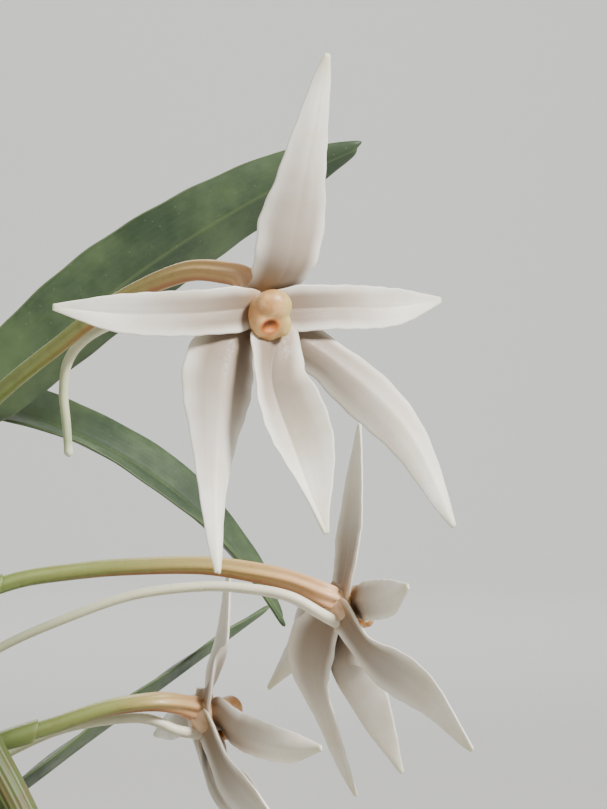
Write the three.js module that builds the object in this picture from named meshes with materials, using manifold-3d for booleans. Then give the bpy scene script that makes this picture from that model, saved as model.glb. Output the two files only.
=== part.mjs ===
// A star-flowered orchid: three leafy stems with three white, long-spurred flowers,
// rooted in chips of bark in a plain clay pot.
// Millimetres, +Z up. The origin is the middle of the pot's flat base.

import * as THREE from 'three';
import { LoftGeometry } from 'three/addons/geometries/LoftGeometry.js';
import { mergeVertices } from 'three/addons/utils/BufferGeometryUtils.js';
import Module from 'manifold-3d';

// Driving dimensions of the pot and its filling
const CLEARANCE = 0.3;
const POT_HEIGHT = 85;
const POT_RIM_RADIUS = 50;
const POT_BASE_RADIUS = 34;
const POT_WALL = 5;
const POT_SIDES = 40;
const POT_FLOOR = 7;
const RIM_BAND_HEIGHT = 19;
const RIM_BAND_STEP = 2.5;
const DRAIN_HOLE_RADIUS = 4;
const DRAIN_CIRCLE_RADIUS = 17;
const DRAIN_HOLES = 3;
const BARK_LEVEL = 76;
const BARK_CHIPS = 44;
const BARK_CHIP_LENGTH = 15;
const BARK_CHIP_WIDTH = 10;
const BARK_CHIP_THICKNESS = 4.5;

// Driving dimensions of the plant
const STEM_RADIUS = 2.0;
const STEM_SIDES = 9;
const ROOT_SIDES = 8;
const SHEATH_RADIUS = 2.6;
const ROOT_RADIUS = 1.6;
const LEAF_BASE_HALF_WIDTH = 2.3;
const LEAF_THICKNESS = [1.1, 0.7];
const LEAF_FOLD = 18;
const TEPAL_THICKNESS = [0.8, 0.6];
const SEPAL_FOLD = -22;
const PETAL_FOLD = 14;
const LIP_FOLD = 40;
const STALK_SIDES = 9;
const PEDUNCLE_RADIUS = 1.0;
const BRACT_RADIUS = 1.3;
const OVARY_RADIUS = 1.4;
const SPUR_RADIUS = 0.75;
const COLUMN_HALF_WIDTH = 2.2;

// Half widths along a blade, as [share of its length, millimetres]
const DORSAL_OUTLINE = [[0, 2], [0.08, 3.1], [0.27, 3.85], [0.37, 3.65], [0.45, 3.15], [0.62, 2.4],
  [0.79, 1.5], [0.9, 1], [1, 0.3]];
const BROAD_SEPAL = [[0, 0.9], [0.08, 2.2], [0.15, 3.8], [0.24, 4.4], [0.33, 3.95], [0.47, 2.8],
  [0.63, 1.9], [0.78, 1.3], [0.9, 0.85], [1, 0.3]];
const SLENDER_SEPAL = [[0, 0.9], [0.08, 1.6], [0.24, 2.6], [0.38, 3.1], [0.53, 2.9], [0.72, 2.05],
  [0.9, 1.1], [1, 0.3]];
const PETAL_OUTLINE = [[0, 1.5], [0.12, 2.2], [0.45, 2.3], [0.7, 1.9], [0.85, 1.15], [1, 0.3]];
const LIP_OUTLINE = [[0, 1.3], [0.12, 2.8], [0.3, 4.4], [0.45, 4.7], [0.6, 4.1], [0.75, 2.8], [0.9, 1.2],
  [1, 0.3]];

// Leaf outline as shares of the leaf's half width
const LEAF_OUTLINE = [[0, 0.45], [0.08, 0.72], [0.28, 1], [0.58, 0.97], [0.8, 0.72], [0.92, 0.48], [1, 0.22]];

// Each stem's route, and its leaves as
// [height of the node, azimuth, rise, arch, roll (degrees), length, width]
const STEMS = [
  {
    route: [[6, 10, 67], [6, 12, 90], [5, 15, 112], [0, 21, 135], [-9, 27, 154],
      [-15.5, 30, 166], [-18.5, 31, 182], [-20, 31, 200], [-23, 31, 216], [-26.5, 31, 229]],
    leaves: [
      [101, 205, 22, 50, 0, 52, 11], [111, -8, 18, 55, 0, 54, 11], [124, 198, 30, 50, 0, 58, 12],
      [135, 5, -8, 30, 0, 56, 12], [148, 196, 35, 46, 0, 62, 12], [168, 194, 40, 44, 0, 64, 12.5],
      [187, 192, 44, 40, 0, 62, 12], [197.6, 9.5, 47, 24, -72, 56, 10.6],
      [209, 188, 52, 34, 0, 56, 11.5], [217, 12, 80, -2, 0, 24, 8], [223, 190, 66, 14, 0, 36, 9.5],
    ],
  },
  {
    route: [[-7, 14, 67], [-8, 19, 88], [-11, 28, 108], [-16, 40, 132], [-21, 47, 165],
      [-25, 48, 200], [-28, 48, 214]],
    leaves: [
      [98, 168, 24, 48, 0, 54, 11], [108, 50, 12, 40, 0, 52, 11], [120, 166, 30, 48, 0, 58, 12],
      [131, 62, 2, 30, 0, 54, 11.5], [142, 168, 36, 46, 0, 60, 12], [151, 36, 30, 2, -24, 48, 6],
      [170, 168, 40, 44, 0, 62, 12],
      [189, 170, 46, 38, 0, 58, 11.5], [200.2, 11, -5, 56, 28, 53, 11], [209, 172, 58, 24, 0, 40, 10],
    ],
  },
  {
    route: [[12, -6, 67], [13, -9, 86], [17, -17, 104], [21, -26, 122], [23, -31, 130]],
    leaves: [
      [91, -12, 26, 52, 0, 48, 10.5], [99, 196, 28, 50, 0, 50, 11], [107, -18, 34, 50, 0, 54, 11],
      [114, 198, 38, 46, 0, 50, 11], [121, -20, 52, 34, 0, 42, 10], [126, 196, 60, 20, 0, 28, 8.5],
    ],
  },
];

// Roots: one dives into the bark, one hangs over the rim, one crosses the bark and dives
const ROOTS = [
  [[9.1, 12, 97], [16, 8, 94.5], [24, 1, 88], [29, -5, 77], [30.5, -7, 68]],
  [[-11.4, 22.5, 91.8], [-19, 29, 90.5], [-27.5, 35.5, 90], [-31.5, 40.3, 88.3], [-33.6, 43.2, 82],
    [-33.9, 43.6, 70], [-33, 44.2, 56], [-31, 45.5, 44]],
  [[10.1, -9.9, 85.3], [3, -15, 83], [-6, -20, 82.3], [-15, -24, 80.5], [-21, -27, 74], [-23.5, -28, 68]],
];

// Each flower's middle, the way that it faces (degrees from straight ahead towards the right)
// and the outlines of its left and right sepal. Each tepal is its roll in degrees, then its
// midrib from the column outwards as [right, forward, up] from the middle. Last, the routes
// of the flower's stalk and its spur.
const FLOWERS = [
  {
    middle: [18.4, 0, 209.5],
    facing: 30,
    sepals: [BROAD_SEPAL, SLENDER_SEPAL],
    dorsal: [0, [1.3, -1.4, 2.1], [1.7, 1.1, 4.7], [2.2, 2.1, 9.4], [2.2, 4.9, 16.9], [2.8, 7.1, 25]],
    leftPetal: [0, [-1.9, -0.9, 0.1], [-8.3, -0.6, -0.5], [-15, -2.7, -0.6], [-21.3, -4.9, 0]],
    rightPetal: [0, [1.9, -0.8, 0.1], [8.2, -0.2, 0.4], [16.1, -2.6, 0.6], [23.7, -4.7, 1.6]],
    leftSepal: [0, [-2, -1.6, -1.5], [-5.2, 0.7, -7.5], [-7.7, 3.4, -16.8], [-10.1, 8.4, -25.6]],
    rightSepal: [0, [2, -1.7, -1.5], [7.8, 0.6, -5.5], [13.4, 5, -12.3], [16.4, 9, -21.8]],
    lip: [0, [0.8, 0, -2.6], [-0.4, 1.4, -7.5], [0.8, 4.4, -14.9], [1.1, 9.7, -22.1]],
    stalk: [[-17.3, 28.4, 195.3], [-11, 23, 201.3], [-4.1, 19, 206.5], [2.2, 15, 210.8],
      [9.6, 9.5, 213.7], [14.4, 5.6, 213.4], [16.2, 4.2, 212.5], [16.8, 2.9, 210.6]],
    spur: [[14, 5, 208], [8.7, 10, 208.9], [3.6, 16, 209.1], [-0.9, 21, 207.6], [-3.6, 24, 205],
      [-4.3, 25, 201.5], [-4, 25, 198], [-3.7, 25, 194.2]],
  },
  {
    middle: [27.7, 35, 177.6],
    facing: 120,
    sepals: [SLENDER_SEPAL, BROAD_SEPAL],
    dorsal: [-5, [-0.5, -1.3, 2.1], [1.2, 0.7, 7], [2.9, 2.2, 13.7], [5.5, 4.1, 20.2]],
    leftPetal: [0, [-1.9, -0.9, 0.1], [-6.8, -2.5, 0.7], [-13.9, -3.9, 1.6], [-19.3, -4.9, 3.1]],
    rightPetal: [0, [1.9, -0.9, 0.1], [10.2, -0.9, -2.4], [15.1, 0.7, -6.7], [20.6, 0.4, -11.8]],
    leftSepal: [0, [-2, -1.7, -1.7], [-4, 0.3, -5.3], [-9.3, 4.3, -9.5], [-14.9, 6.3, -15.6]],
    rightSepal: [-9, [2, -1.6, -1.5], [5.5, -1.4, -8], [6.9, 1.5, -15.3], [8, 5.2, -23.5]],
    lip: [0, [0.3, -0.2, -2.6], [3.1, -0.9, -7], [2.6, 2.5, -13.4], [1.8, 7.6, -20.2]],
    stalk: [[-14.7, 30.8, 178.8], [-10, 32, 180.3], [-5.4, 33, 181], [1.2, 34, 181.6], [10.2, 34.5, 181.8],
      [16, 34, 181.1], [20.5, 33.6, 180.1], [24.2, 33, 178.6], [25.5, 33.7, 178]],
    spur: [[24.2, 31.2, 176.4], [20.5, 30.4, 178.5], [16, 30.4, 179.4], [10.5, 30, 179.7], [2.8, 28, 178.8],
      [-4.8, 26, 176.2], [-11.3, 25, 173.3], [-16.1, 24, 169.9], [-19.3, 24, 165]],
  },
  {
    middle: [12.4, 40, 164.4],
    facing: 110,
    sepals: [SLENDER_SEPAL, SLENDER_SEPAL],
    dorsal: [2, [-0.6, -1.5, 3], [1.9, 0.7, 5.5], [4.3, 2.2, 10.1], [6.7, 3.3, 15.8]],
    leftPetal: [0, [-2.2, -0.9, 0], [-4.8, 0.2, -1.5], [-10.7, 3.5, -2.7], [-15.9, 6.6, -2.4]],
    rightPetal: [0, [2.4, -0.8, -0.1], [8.4, -2, -1.1], [14.6, -1.8, -2.9], [20.7, -1.7, -4.9]],
    leftSepal: [0, [-2, -1.6, -1.5], [-5.6, -0.6, -5.8], [-9.9, 2.3, -10.1], [-13.6, 5.3, -15.9]],
    rightSepal: [0, [2, -1.7, -2.5], [6.7, 1.7, -8.8], [9.3, 7.1, -15.4], [12, 10.9, -23.6]],
    lip: [0, [0.3, -0.2, -2.6], [1.3, -0.6, -6.7], [1, 3.1, -13.4], [-0.6, 7.5, -19.6]],
    stalk: [[-11.3, 31.6, 162.4], [-5.9, 33.4, 163.9], [-0.3, 34.5, 165.6], [4.6, 35.4, 166.2],
      [7.2, 36.9, 165.9], [8.9, 38.4, 165.3], [10, 39.1, 164.8]],
    spur: [[7.6, 37.4, 162.7], [3.4, 36.8, 164.2], [-3.8, 36.6, 163.4], [-9.7, 36.8, 161.2],
      [-16.1, 37.6, 157.2], [-19.7, 38, 151.5]],
  },
];

const CLAY = new THREE.MeshStandardMaterial({ color: 0xb0683f, roughness: 0.85, metalness: 0 });
const BARK = new THREE.MeshStandardMaterial({ color: 0x5b3a24, roughness: 0.95, metalness: 0 });
const STEM_GREEN = new THREE.MeshStandardMaterial({ color: 0x6b7345, roughness: 0.6, metalness: 0 });
const LEAF_GREEN = new THREE.MeshStandardMaterial({ color: 0x35553a, roughness: 0.4, metalness: 0 });
const ROOT_GREY = new THREE.MeshStandardMaterial({ color: 0xb9b9a6, roughness: 0.9, metalness: 0 });
const TEPAL_WHITE = new THREE.MeshStandardMaterial({ color: 0xf1e9e0, roughness: 0.55, metalness: 0 });
const COLUMN_CREAM = new THREE.MeshStandardMaterial({ color: 0xe6c79b, roughness: 0.5, metalness: 0 });
const STALK_GREEN = new THREE.MeshStandardMaterial({ color: 0xa38f5a, roughness: 0.55, metalness: 0 });

const UP = new THREE.Vector3(0, 0, 1);
const radians = THREE.MathUtils.degToRad;
const vector = (point) => new THREE.Vector3(...point);

// A flower's own frame has X to its right, Y behind it and Z up
const inFlower = ([right, forward, up]) => new THREE.Vector3(right, -forward, up);
const FORWARD = inFlower([0, 1, 0]);

const wasm = await Module();
wasm.setup();

function smooth(points) {
  return new THREE.CatmullRomCurve3(points, false, 'catmullrom', 0.5);
}

// The value at t of a table of [t, value], eased through its entries
function eased(table, t) {
  const last = table.length - 1;
  let i = 0;
  while (i < last - 1 && t > table[i + 1][0]) i += 1;
  const [t0, v0] = table[i];
  const [t1, v1] = table[i + 1];
  const slope = (a, b) => (table[b][1] - table[a][1]) / (table[b][0] - table[a][0]);
  const span = t1 - t0;
  const m0 = slope(Math.max(i - 1, 0), i + 1) * span;
  const m1 = slope(i, Math.min(i + 2, last)) * span;
  const s = (t - t0) / span;
  const s2 = s * s;
  const s3 = s2 * s;
  return (2 * s3 - 3 * s2 + 1) * v0 + (s3 - 2 * s2 + s) * m0 + (3 * s2 - 2 * s3) * v1 + (s3 - s2) * m1;
}

// A round solid along a curve; stations are [share of the curve, radius]
function tube(curve, stations, sides) {
  let across = null;
  const rings = stations.map(([t, radius]) => {
    const middle = curve.getPoint(t);
    const along = curve.getTangent(t);
    across ??= new THREE.Vector3().crossVectors(along, Math.abs(along.z) > 0.7 ? FORWARD : UP);
    across.addScaledVector(along, -across.dot(along)).normalize();
    const other = new THREE.Vector3().crossVectors(along, across);
    return Array.from({ length: sides }, (_, i) => {
      const turn = (i / sides) * 2 * Math.PI;
      return middle.clone()
        .addScaledVector(across, radius * Math.cos(turn))
        .addScaledVector(other, radius * Math.sin(turn));
    });
  });
  return new LoftGeometry(rings, { capStart: true, capEnd: true });
}

function evenStations(count, radiusAt) {
  return Array.from({ length: count }, (_, i) => [i / (count - 1), radiusAt(i / (count - 1))]);
}

// A thin folded blade along a midrib. Its upper face looks towards facing, and a positive
// fold lifts its margins to that side. Stations across are shares of the half width.
function blade({ midrib, outline, scale = 1, thickness, fold, roll = 0, facing, across, sections }) {
  const rings = [];
  for (let i = 0; i < sections; i += 1) {
    const t = i / (sections - 1);
    const middle = midrib.getPointAt(t);
    const along = midrib.getTangentAt(t);
    const flatSide = new THREE.Vector3().crossVectors(facing, along).normalize();
    const side = flatSide.applyAxisAngle(along, radians(roll));
    const face = new THREE.Vector3().crossVectors(along, side);
    const half = eased(outline, t) * scale;
    const halfThick = THREE.MathUtils.lerp(thickness[0], thickness[1], t) / 2;
    const place = (share, rise) => middle.clone()
      .addScaledVector(side, share * half * Math.cos(radians(fold)))
      .addScaledVector(face, Math.abs(share) * half * Math.sin(radians(fold)) + rise);
    const upper = across.map((share) => place(share, halfThick));
    const lower = across.map((share) => place(-share, -halfThick));
    rings.push([...upper, ...lower]);
  }
  return new LoftGeometry(rings, { capStart: true, capEnd: true });
}

function toSolid(geometry) {
  const bare = new THREE.BufferGeometry().copy(geometry);
  bare.deleteAttribute('normal');
  bare.deleteAttribute('uv');
  const merged = mergeVertices(bare, 1e-4);
  return new wasm.Manifold(new wasm.Mesh({
    numProp: 3,
    vertProperties: new Float32Array(merged.attributes.position.array),
    triVerts: new Uint32Array(merged.index.array),
  }));
}

function toGeometry(solid) {
  const mesh = solid.getMesh();
  const geometry = new THREE.BufferGeometry();
  geometry.setAttribute('position', new THREE.BufferAttribute(new Float32Array(mesh.vertProperties), 3));
  geometry.setIndex(new THREE.BufferAttribute(new Uint32Array(mesh.triVerts), 1));
  geometry.computeVertexNormals();
  return geometry;
}

// The largest connected body of a solid, without the loose scraps that cutting left
function largestBody(solid) {
  return solid.decompose().reduce((best, body) => (body.volume() > best.volume() ? body : best));
}

function addPiece(parent, name, geometry, material) {
  const mesh = new THREE.Mesh(geometry, material);
  mesh.name = name;
  parent.add(mesh);
}

function seededRandom(seed) {
  let state = seed;
  return () => {
    state = (state * 1664525 + 1013904223) % 4294967296;
    return state / 4294967296;
  };
}

// The clay pot: a tapered wall under a thicker rim band, open at the top, drained below
function potInnerRadius(height) {
  const wallTop = POT_RIM_RADIUS - POT_WALL;
  const wallFoot = POT_BASE_RADIUS - POT_WALL;
  return THREE.MathUtils.mapLinear(height, 0, POT_HEIGHT, wallFoot, wallTop);
}

function potGeometry() {
  const bandFoot = POT_HEIGHT - RIM_BAND_HEIGHT;
  const edge = 1.2;
  const bandStart = POT_RIM_RADIUS - RIM_BAND_STEP - edge;
  const profile = [
    [0, 0],
    [POT_BASE_RADIUS - edge, 0],
    [POT_BASE_RADIUS, edge],
    [bandStart, bandFoot],
    [POT_RIM_RADIUS - edge, bandFoot + edge],
    [POT_RIM_RADIUS, POT_HEIGHT - edge],
    [POT_RIM_RADIUS - edge, POT_HEIGHT],
    [potInnerRadius(POT_HEIGHT) + edge, POT_HEIGHT],
    [potInnerRadius(POT_HEIGHT - edge), POT_HEIGHT - edge],
    [potInnerRadius(POT_FLOOR), POT_FLOOR],
    [0, POT_FLOOR],
  ].map(([radius, height]) => new THREE.Vector2(radius, height));
  let pot = toSolid(new THREE.LatheGeometry(profile, POT_SIDES).rotateX(Math.PI / 2));
  for (let i = 0; i < DRAIN_HOLES; i += 1) {
    const turn = (i / DRAIN_HOLES) * 2 * Math.PI;
    const drill = new THREE.CylinderGeometry(DRAIN_HOLE_RADIUS, DRAIN_HOLE_RADIUS, 3 * POT_FLOOR, 12)
      .rotateX(Math.PI / 2)
      .translate(DRAIN_CIRCLE_RADIUS * Math.cos(turn), DRAIN_CIRCLE_RADIUS * Math.sin(turn), 0);
    pot = pot.subtract(toSolid(drill));
  }
  return toGeometry(pot);
}

function rootStations(grow = 0) {
  return evenStations(17, (t) => ROOT_RADIUS * (1 - 0.25 * t ** 3) + grow);
}

// Rings of the bare foot of a stem, or of the hole that it stands in, up to its first node
function footStations(curve, firstNode, radius) {
  const top = shareAtHeight(curve, firstNode);
  return [0, 0.3, 0.6, 0.9].map((share) => [share * top, radius]);
}

// The bark fills the pot; loose-looking chips stand out of its top, and each stem and root
// that enters it has a plain hole
function barkGeometry() {
  const bedFoot = POT_FLOOR + CLEARANCE;
  const bed = [
    [0, bedFoot],
    [potInnerRadius(bedFoot) - CLEARANCE, bedFoot],
    [potInnerRadius(BARK_LEVEL) - CLEARANCE, BARK_LEVEL],
    [0, BARK_LEVEL],
  ].map(([radius, height]) => new THREE.Vector2(radius, height));
  let bark = toSolid(new THREE.LatheGeometry(bed, POT_SIDES).rotateX(Math.PI / 2));
  const random = seededRandom(20);
  const reach = potInnerRadius(BARK_LEVEL) - BARK_CHIP_LENGTH / 2 - 1.5;
  for (let i = 0; i < BARK_CHIPS; i += 1) {
    const away = reach * Math.sqrt((i + 0.5) / BARK_CHIPS);
    const turn = i * 2.39996;
    const chip = new THREE.BoxGeometry(
      BARK_CHIP_LENGTH * (0.65 + 0.35 * random()),
      BARK_CHIP_WIDTH * (0.6 + 0.4 * random()),
      BARK_CHIP_THICKNESS * (0.7 + 0.3 * random()),
    );
    chip.rotateX((random() - 0.5) * 0.7).rotateY((random() - 0.5) * 0.6).rotateZ(random() * Math.PI);
    chip.translate(away * Math.cos(turn), away * Math.sin(turn), BARK_LEVEL + 0.4 + 1.8 * random());
    bark = bark.add(toSolid(chip));
  }
  const holes = [
    ...STEMS.map((stem) => {
      const curve = smooth(stem.route.map(vector));
      return [curve, footStations(curve, stem.leaves[0][0], SHEATH_RADIUS + CLEARANCE), STEM_SIDES];
    }),
    ...ROOTS.map((route) => [smooth(route.map(vector)), rootStations(1.4 * CLEARANCE), ROOT_SIDES]),
  ];
  for (const [curve, stations, sides] of holes) {
    for (const drop of [0, CLEARANCE]) {
      const hole = tube(curve, stations, sides).translate(0, 0, -drop);
      bark = bark.subtract(toSolid(hole));
    }
  }
  return toGeometry(largestBody(bark));
}

// The share of a rising curve at which it reaches a height
function shareAtHeight(curve, height) {
  let low = 0;
  let high = 1;
  for (let i = 0; i < 30; i += 1) {
    const middle = (low + high) / 2;
    if (curve.getPoint(middle).z < height) low = middle;
    else high = middle;
  }
  return low;
}

// A stem wrapped in leaf sheaths: each widens up to the node where its leaf stands off
function stemGeometry(curve, heights) {
  const step = 0.005;
  const stations = footStations(curve, heights[0], SHEATH_RADIUS - 0.2);
  for (const height of heights) {
    const share = shareAtHeight(curve, height);
    stations.push([share, SHEATH_RADIUS]);
    stations.push([share + step, STEM_RADIUS]);
  }
  stations.push([1, STEM_RADIUS * 0.5]);
  return tube(curve, stations, STEM_SIDES);
}

// A leaf's midrib rises from its node and arches over
function leafMidrib(start, azimuth, rise, arch, length) {
  const steps = 8;
  const points = [start];
  for (let i = 0; i < steps; i += 1) {
    const level = radians(rise - (arch * (i + 0.5)) / steps);
    const heading = radians(azimuth);
    const ahead = new THREE.Vector3(
      Math.cos(level) * Math.cos(heading),
      Math.cos(level) * Math.sin(heading),
      Math.sin(level),
    );
    points.push(points.at(-1).clone().addScaledVector(ahead, length / steps));
  }
  return smooth(points);
}

function leafGeometry(stemCurve, [height, azimuth, rise, arch, roll, length, width]) {
  const share = shareAtHeight(stemCurve, height);
  const node = stemCurve.getPoint(share);
  const along = stemCurve.getTangent(share);
  const lift = LEAF_THICKNESS[0] / 2 + LEAF_BASE_HALF_WIDTH * Math.sin(radians(LEAF_FOLD));
  const twisted = LEAF_BASE_HALF_WIDTH * Math.abs(Math.sin(radians(roll)));
  const reachBack = (0.55 * lift + 0.3 * twisted) * Math.abs(Math.sin(radians(rise)));
  const standOff = SHEATH_RADIUS + 1.2 * CLEARANCE + reachBack;
  const outward = new THREE.Vector3(Math.cos(radians(azimuth)), Math.sin(radians(azimuth)), 0);
  outward.addScaledVector(along, -outward.dot(along)).normalize();
  return blade({
    midrib: leafMidrib(node.addScaledVector(outward, standOff), azimuth, rise, arch, length),
    outline: LEAF_OUTLINE,
    scale: width / 2,
    thickness: LEAF_THICKNESS,
    fold: LEAF_FOLD,
    roll,
    facing: UP,
    across: [1, 0, -1],
    sections: 10,
  });
}

function tepalGeometry([roll, ...midrib], outline, fold) {
  return blade({
    midrib: smooth(midrib.map(inFlower)),
    outline,
    thickness: TEPAL_THICKNESS,
    fold,
    roll,
    facing: FORWARD,
    across: [1, 0.5, 0, -0.5, -1],
    sections: 11,
  });
}

// The boat-shaped lip, with the long spur that runs back from its base
function lipGeometry(flower, group) {
  const lip = tepalGeometry(flower.lip, LIP_OUTLINE, LIP_FOLD);
  const [, [right, forward, up]] = flower.lip;
  const route = [
    inFlower([right, forward + 0.1, up - 0.3]),
    inFlower([0, -1.9, -2.4]),
    ...flower.spur.map((point) => group.worldToLocal(vector(point))),
  ];
  const spur = tube(smooth(route), evenStations(22, (t) => SPUR_RADIUS * (1.1 - 0.25 * t)), 8);
  return toGeometry(toSolid(lip).add(toSolid(spur)));
}

// The short column, hooded by the anther cap, with the stigma's hollow under its tip
function columnGeometry() {
  const shaft = tube(
    smooth([inFlower([0, -1.8, 0.2]), inFlower([0, 0, 0]), inFlower([0, 1.4, -0.5])]),
    [[0, 0.9], [0.5, 1.3], [1, 1.4]],
    12,
  );
  const hood = new THREE.SphereGeometry(1, 12, 8).scale(COLUMN_HALF_WIDTH, 1.5, 1.8);
  hood.translate(...inFlower([0, 1, 0.3]));
  const stigma = new THREE.SphereGeometry(1, 8, 6).scale(0.9, 1, 0.8);
  stigma.translate(...inFlower([-0.2, 2.6, -0.9]));
  return toGeometry(toSolid(shaft).add(toSolid(hood)).subtract(toSolid(stigma)));
}

// The flower stalk: peduncle, a sheathing bract, then the pedicel that swells into the ovary
function stalkGeometry(flower) {
  const stations = [
    [0, PEDUNCLE_RADIUS], [0.02, PEDUNCLE_RADIUS], [0.07, BRACT_RADIUS], [0.08, PEDUNCLE_RADIUS],
    [0.25, PEDUNCLE_RADIUS], [0.4, PEDUNCLE_RADIUS], [0.5, PEDUNCLE_RADIUS], [0.6, PEDUNCLE_RADIUS * 1.1],
    [0.7, PEDUNCLE_RADIUS * 1.2], [0.78, OVARY_RADIUS * 0.9], [0.86, OVARY_RADIUS],
    [0.93, OVARY_RADIUS], [1, OVARY_RADIUS * 0.85],
  ];
  return tube(smooth(flower.stalk.map(vector)), stations, STALK_SIDES);
}

function addFlower(parent, flower, name) {
  const group = new THREE.Group();
  group.position.set(...flower.middle);
  group.rotation.z = radians(flower.facing);
  group.updateMatrixWorld(true);
  parent.add(group);
  const tepals = [
    ['dorsal_sepal', flower.dorsal, DORSAL_OUTLINE, SEPAL_FOLD / 2],
    ['left_sepal', flower.leftSepal, flower.sepals[0], SEPAL_FOLD],
    ['right_sepal', flower.rightSepal, flower.sepals[1], SEPAL_FOLD],
    ['left_petal', flower.leftPetal, PETAL_OUTLINE, PETAL_FOLD],
    ['right_petal', flower.rightPetal, PETAL_OUTLINE, PETAL_FOLD],
  ];
  for (const [tepal, ...shape] of tepals) {
    addPiece(group, `${name}_${tepal}`, tepalGeometry(...shape), TEPAL_WHITE);
  }
  addPiece(group, `${name}_lip`, lipGeometry(flower, group), TEPAL_WHITE);
  addPiece(group, `${name}_column`, columnGeometry(), COLUMN_CREAM);
  addPiece(parent, `${name}_stalk`, stalkGeometry(flower), STALK_GREEN);
}

const plant = new THREE.Group();
addPiece(plant, 'pot', potGeometry(), CLAY);
addPiece(plant, 'bark', barkGeometry(), BARK);
STEMS.forEach((stem, i) => {
  const name = `stem_${i + 1}`;
  const curve = smooth(stem.route.map(vector));
  const heights = stem.leaves.map(([height]) => height);
  addPiece(plant, name, stemGeometry(curve, heights), STEM_GREEN);
  stem.leaves.forEach((leaf, k) => {
    addPiece(plant, `${name}_leaf_${k + 1}`, leafGeometry(curve, leaf), LEAF_GREEN);
  });
});
ROOTS.forEach((route, i) => {
  addPiece(plant, `root_${i + 1}`, tube(smooth(route.map(vector)), rootStations(), ROOT_SIDES), ROOT_GREY);
});
FLOWERS.forEach((flower, i) => addFlower(plant, flower, `flower_${i + 1}`));

export default plant;
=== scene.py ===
"""A star-flowered orchid: three leafy stems with three white, long-spurred flowers, rooted
in chips of bark in a plain clay pot. Lengths are given in millimetres and placed in metres,
+Z up, with the origin at the middle of the pot's flat base."""

import bisect
import logging
import math
import random
from collections.abc import Callable, Iterator, Sequence
from contextlib import contextmanager
from dataclasses import dataclass, replace
from enum import Enum

import bmesh
import bpy
from mathutils import Matrix, Vector, noise

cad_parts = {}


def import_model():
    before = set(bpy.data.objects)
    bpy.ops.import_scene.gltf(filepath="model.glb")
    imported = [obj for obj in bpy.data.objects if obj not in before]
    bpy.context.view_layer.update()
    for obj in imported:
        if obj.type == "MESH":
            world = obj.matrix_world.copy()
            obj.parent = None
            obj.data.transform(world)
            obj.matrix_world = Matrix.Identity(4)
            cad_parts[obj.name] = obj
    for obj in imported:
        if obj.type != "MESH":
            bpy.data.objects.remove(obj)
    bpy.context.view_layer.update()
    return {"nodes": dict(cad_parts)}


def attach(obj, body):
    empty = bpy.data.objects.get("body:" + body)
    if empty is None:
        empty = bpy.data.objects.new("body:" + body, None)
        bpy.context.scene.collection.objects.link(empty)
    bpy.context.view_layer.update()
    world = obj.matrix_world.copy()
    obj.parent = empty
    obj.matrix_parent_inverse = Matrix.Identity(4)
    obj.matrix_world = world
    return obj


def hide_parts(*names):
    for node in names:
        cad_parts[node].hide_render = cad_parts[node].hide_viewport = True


Point = tuple[float, float, float]
Table = Sequence[tuple[float, float]]
Colour = tuple[float, float, float, float]
Value = object

MM = 0.001
UP = Vector((0, 0, 1))
FORWARD = Vector((0, -1, 0))
log = logging.getLogger("orchid")

# Sizes that the pieces share with the solids
CLEARANCE = 0.3
STEM_RADIUS = 2.0
SHEATH_RADIUS = 2.6
ROOT_RADIUS = 1.6
LEAF_BASE_HALF_WIDTH = 2.3
LEAF_THICKNESS = 1.1
LEAF_FOLD = 18.0
PEDUNCLE_RADIUS = 1.0
SPUR_RADIUS = 0.75

# How far each chip of an even spread turns from the one before, in radians
GOLDEN_ANGLE = 2.39996

# How thick a stalk is along it, as (share of its points, share of its slim part's radius)
STALK_TABLE = ((0, 1.0), (0.02, 1.0), (0.3, 0.95), (0.5, 1.0), (0.6, 1.1), (0.7, 1.2), (0.78, 1.26),
               (0.86, 1.4), (0.93, 1.4), (1, 1.25))

# Half widths along a blade, as (share of its length, millimetres)
DORSAL_OUTLINE = ((0, 2), (0.08, 3.1), (0.27, 3.85), (0.37, 3.65), (0.45, 3.15), (0.62, 2.4), (0.79, 1.5),
                  (0.9, 1), (1, 0.3))
BROAD_SEPAL = ((0, 0.9), (0.08, 2.2), (0.15, 3.8), (0.24, 4.4), (0.33, 3.95), (0.47, 2.8), (0.63, 1.9),
               (0.78, 1.3), (0.9, 0.85), (1, 0.3))
SLENDER_SEPAL = ((0, 0.9), (0.08, 1.6), (0.24, 2.6), (0.38, 3.1), (0.53, 2.9), (0.72, 2.05), (0.9, 1.1),
                 (1, 0.3))
PETAL_OUTLINE = ((0, 1.5), (0.12, 2.2), (0.45, 2.3), (0.7, 1.9), (0.85, 1.15), (1, 0.3))
LIP_OUTLINE = ((0, 1.3), (0.12, 2.8), (0.3, 4.4), (0.45, 4.7), (0.6, 4.1), (0.75, 2.8), (0.9, 1.2),
               (1, 0.3))

# Leaf outline as shares of the leaf's half width
LEAF_OUTLINE = ((0, 0.45), (0.08, 0.72), (0.28, 1), (0.58, 0.97), (0.8, 0.72), (0.92, 0.48), (1, 0.22))


class Slot(Enum):
    """The record's material slots, one for each kind of piece."""

    CLAY = "clay"
    BARK = "bark"
    STEM = "stem"
    LEAF = "leaf"
    ROOT = "root"
    TEPAL = "tepal"
    COLUMN = "column"
    STALK = "stalk"


def paint(red: int, green: int, blue: int) -> Colour:
    """A colour as it looks on a screen, in the linear light that the shaders take."""
    def linear(level: int) -> float:
        """One channel, from a screen's level to its share of the light."""
        share = level / 255
        return share / 12.92 if share <= 0.04045 else ((share + 0.055) / 1.055) ** 2.4

    return linear(red), linear(green), linear(blue), 1.0


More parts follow.
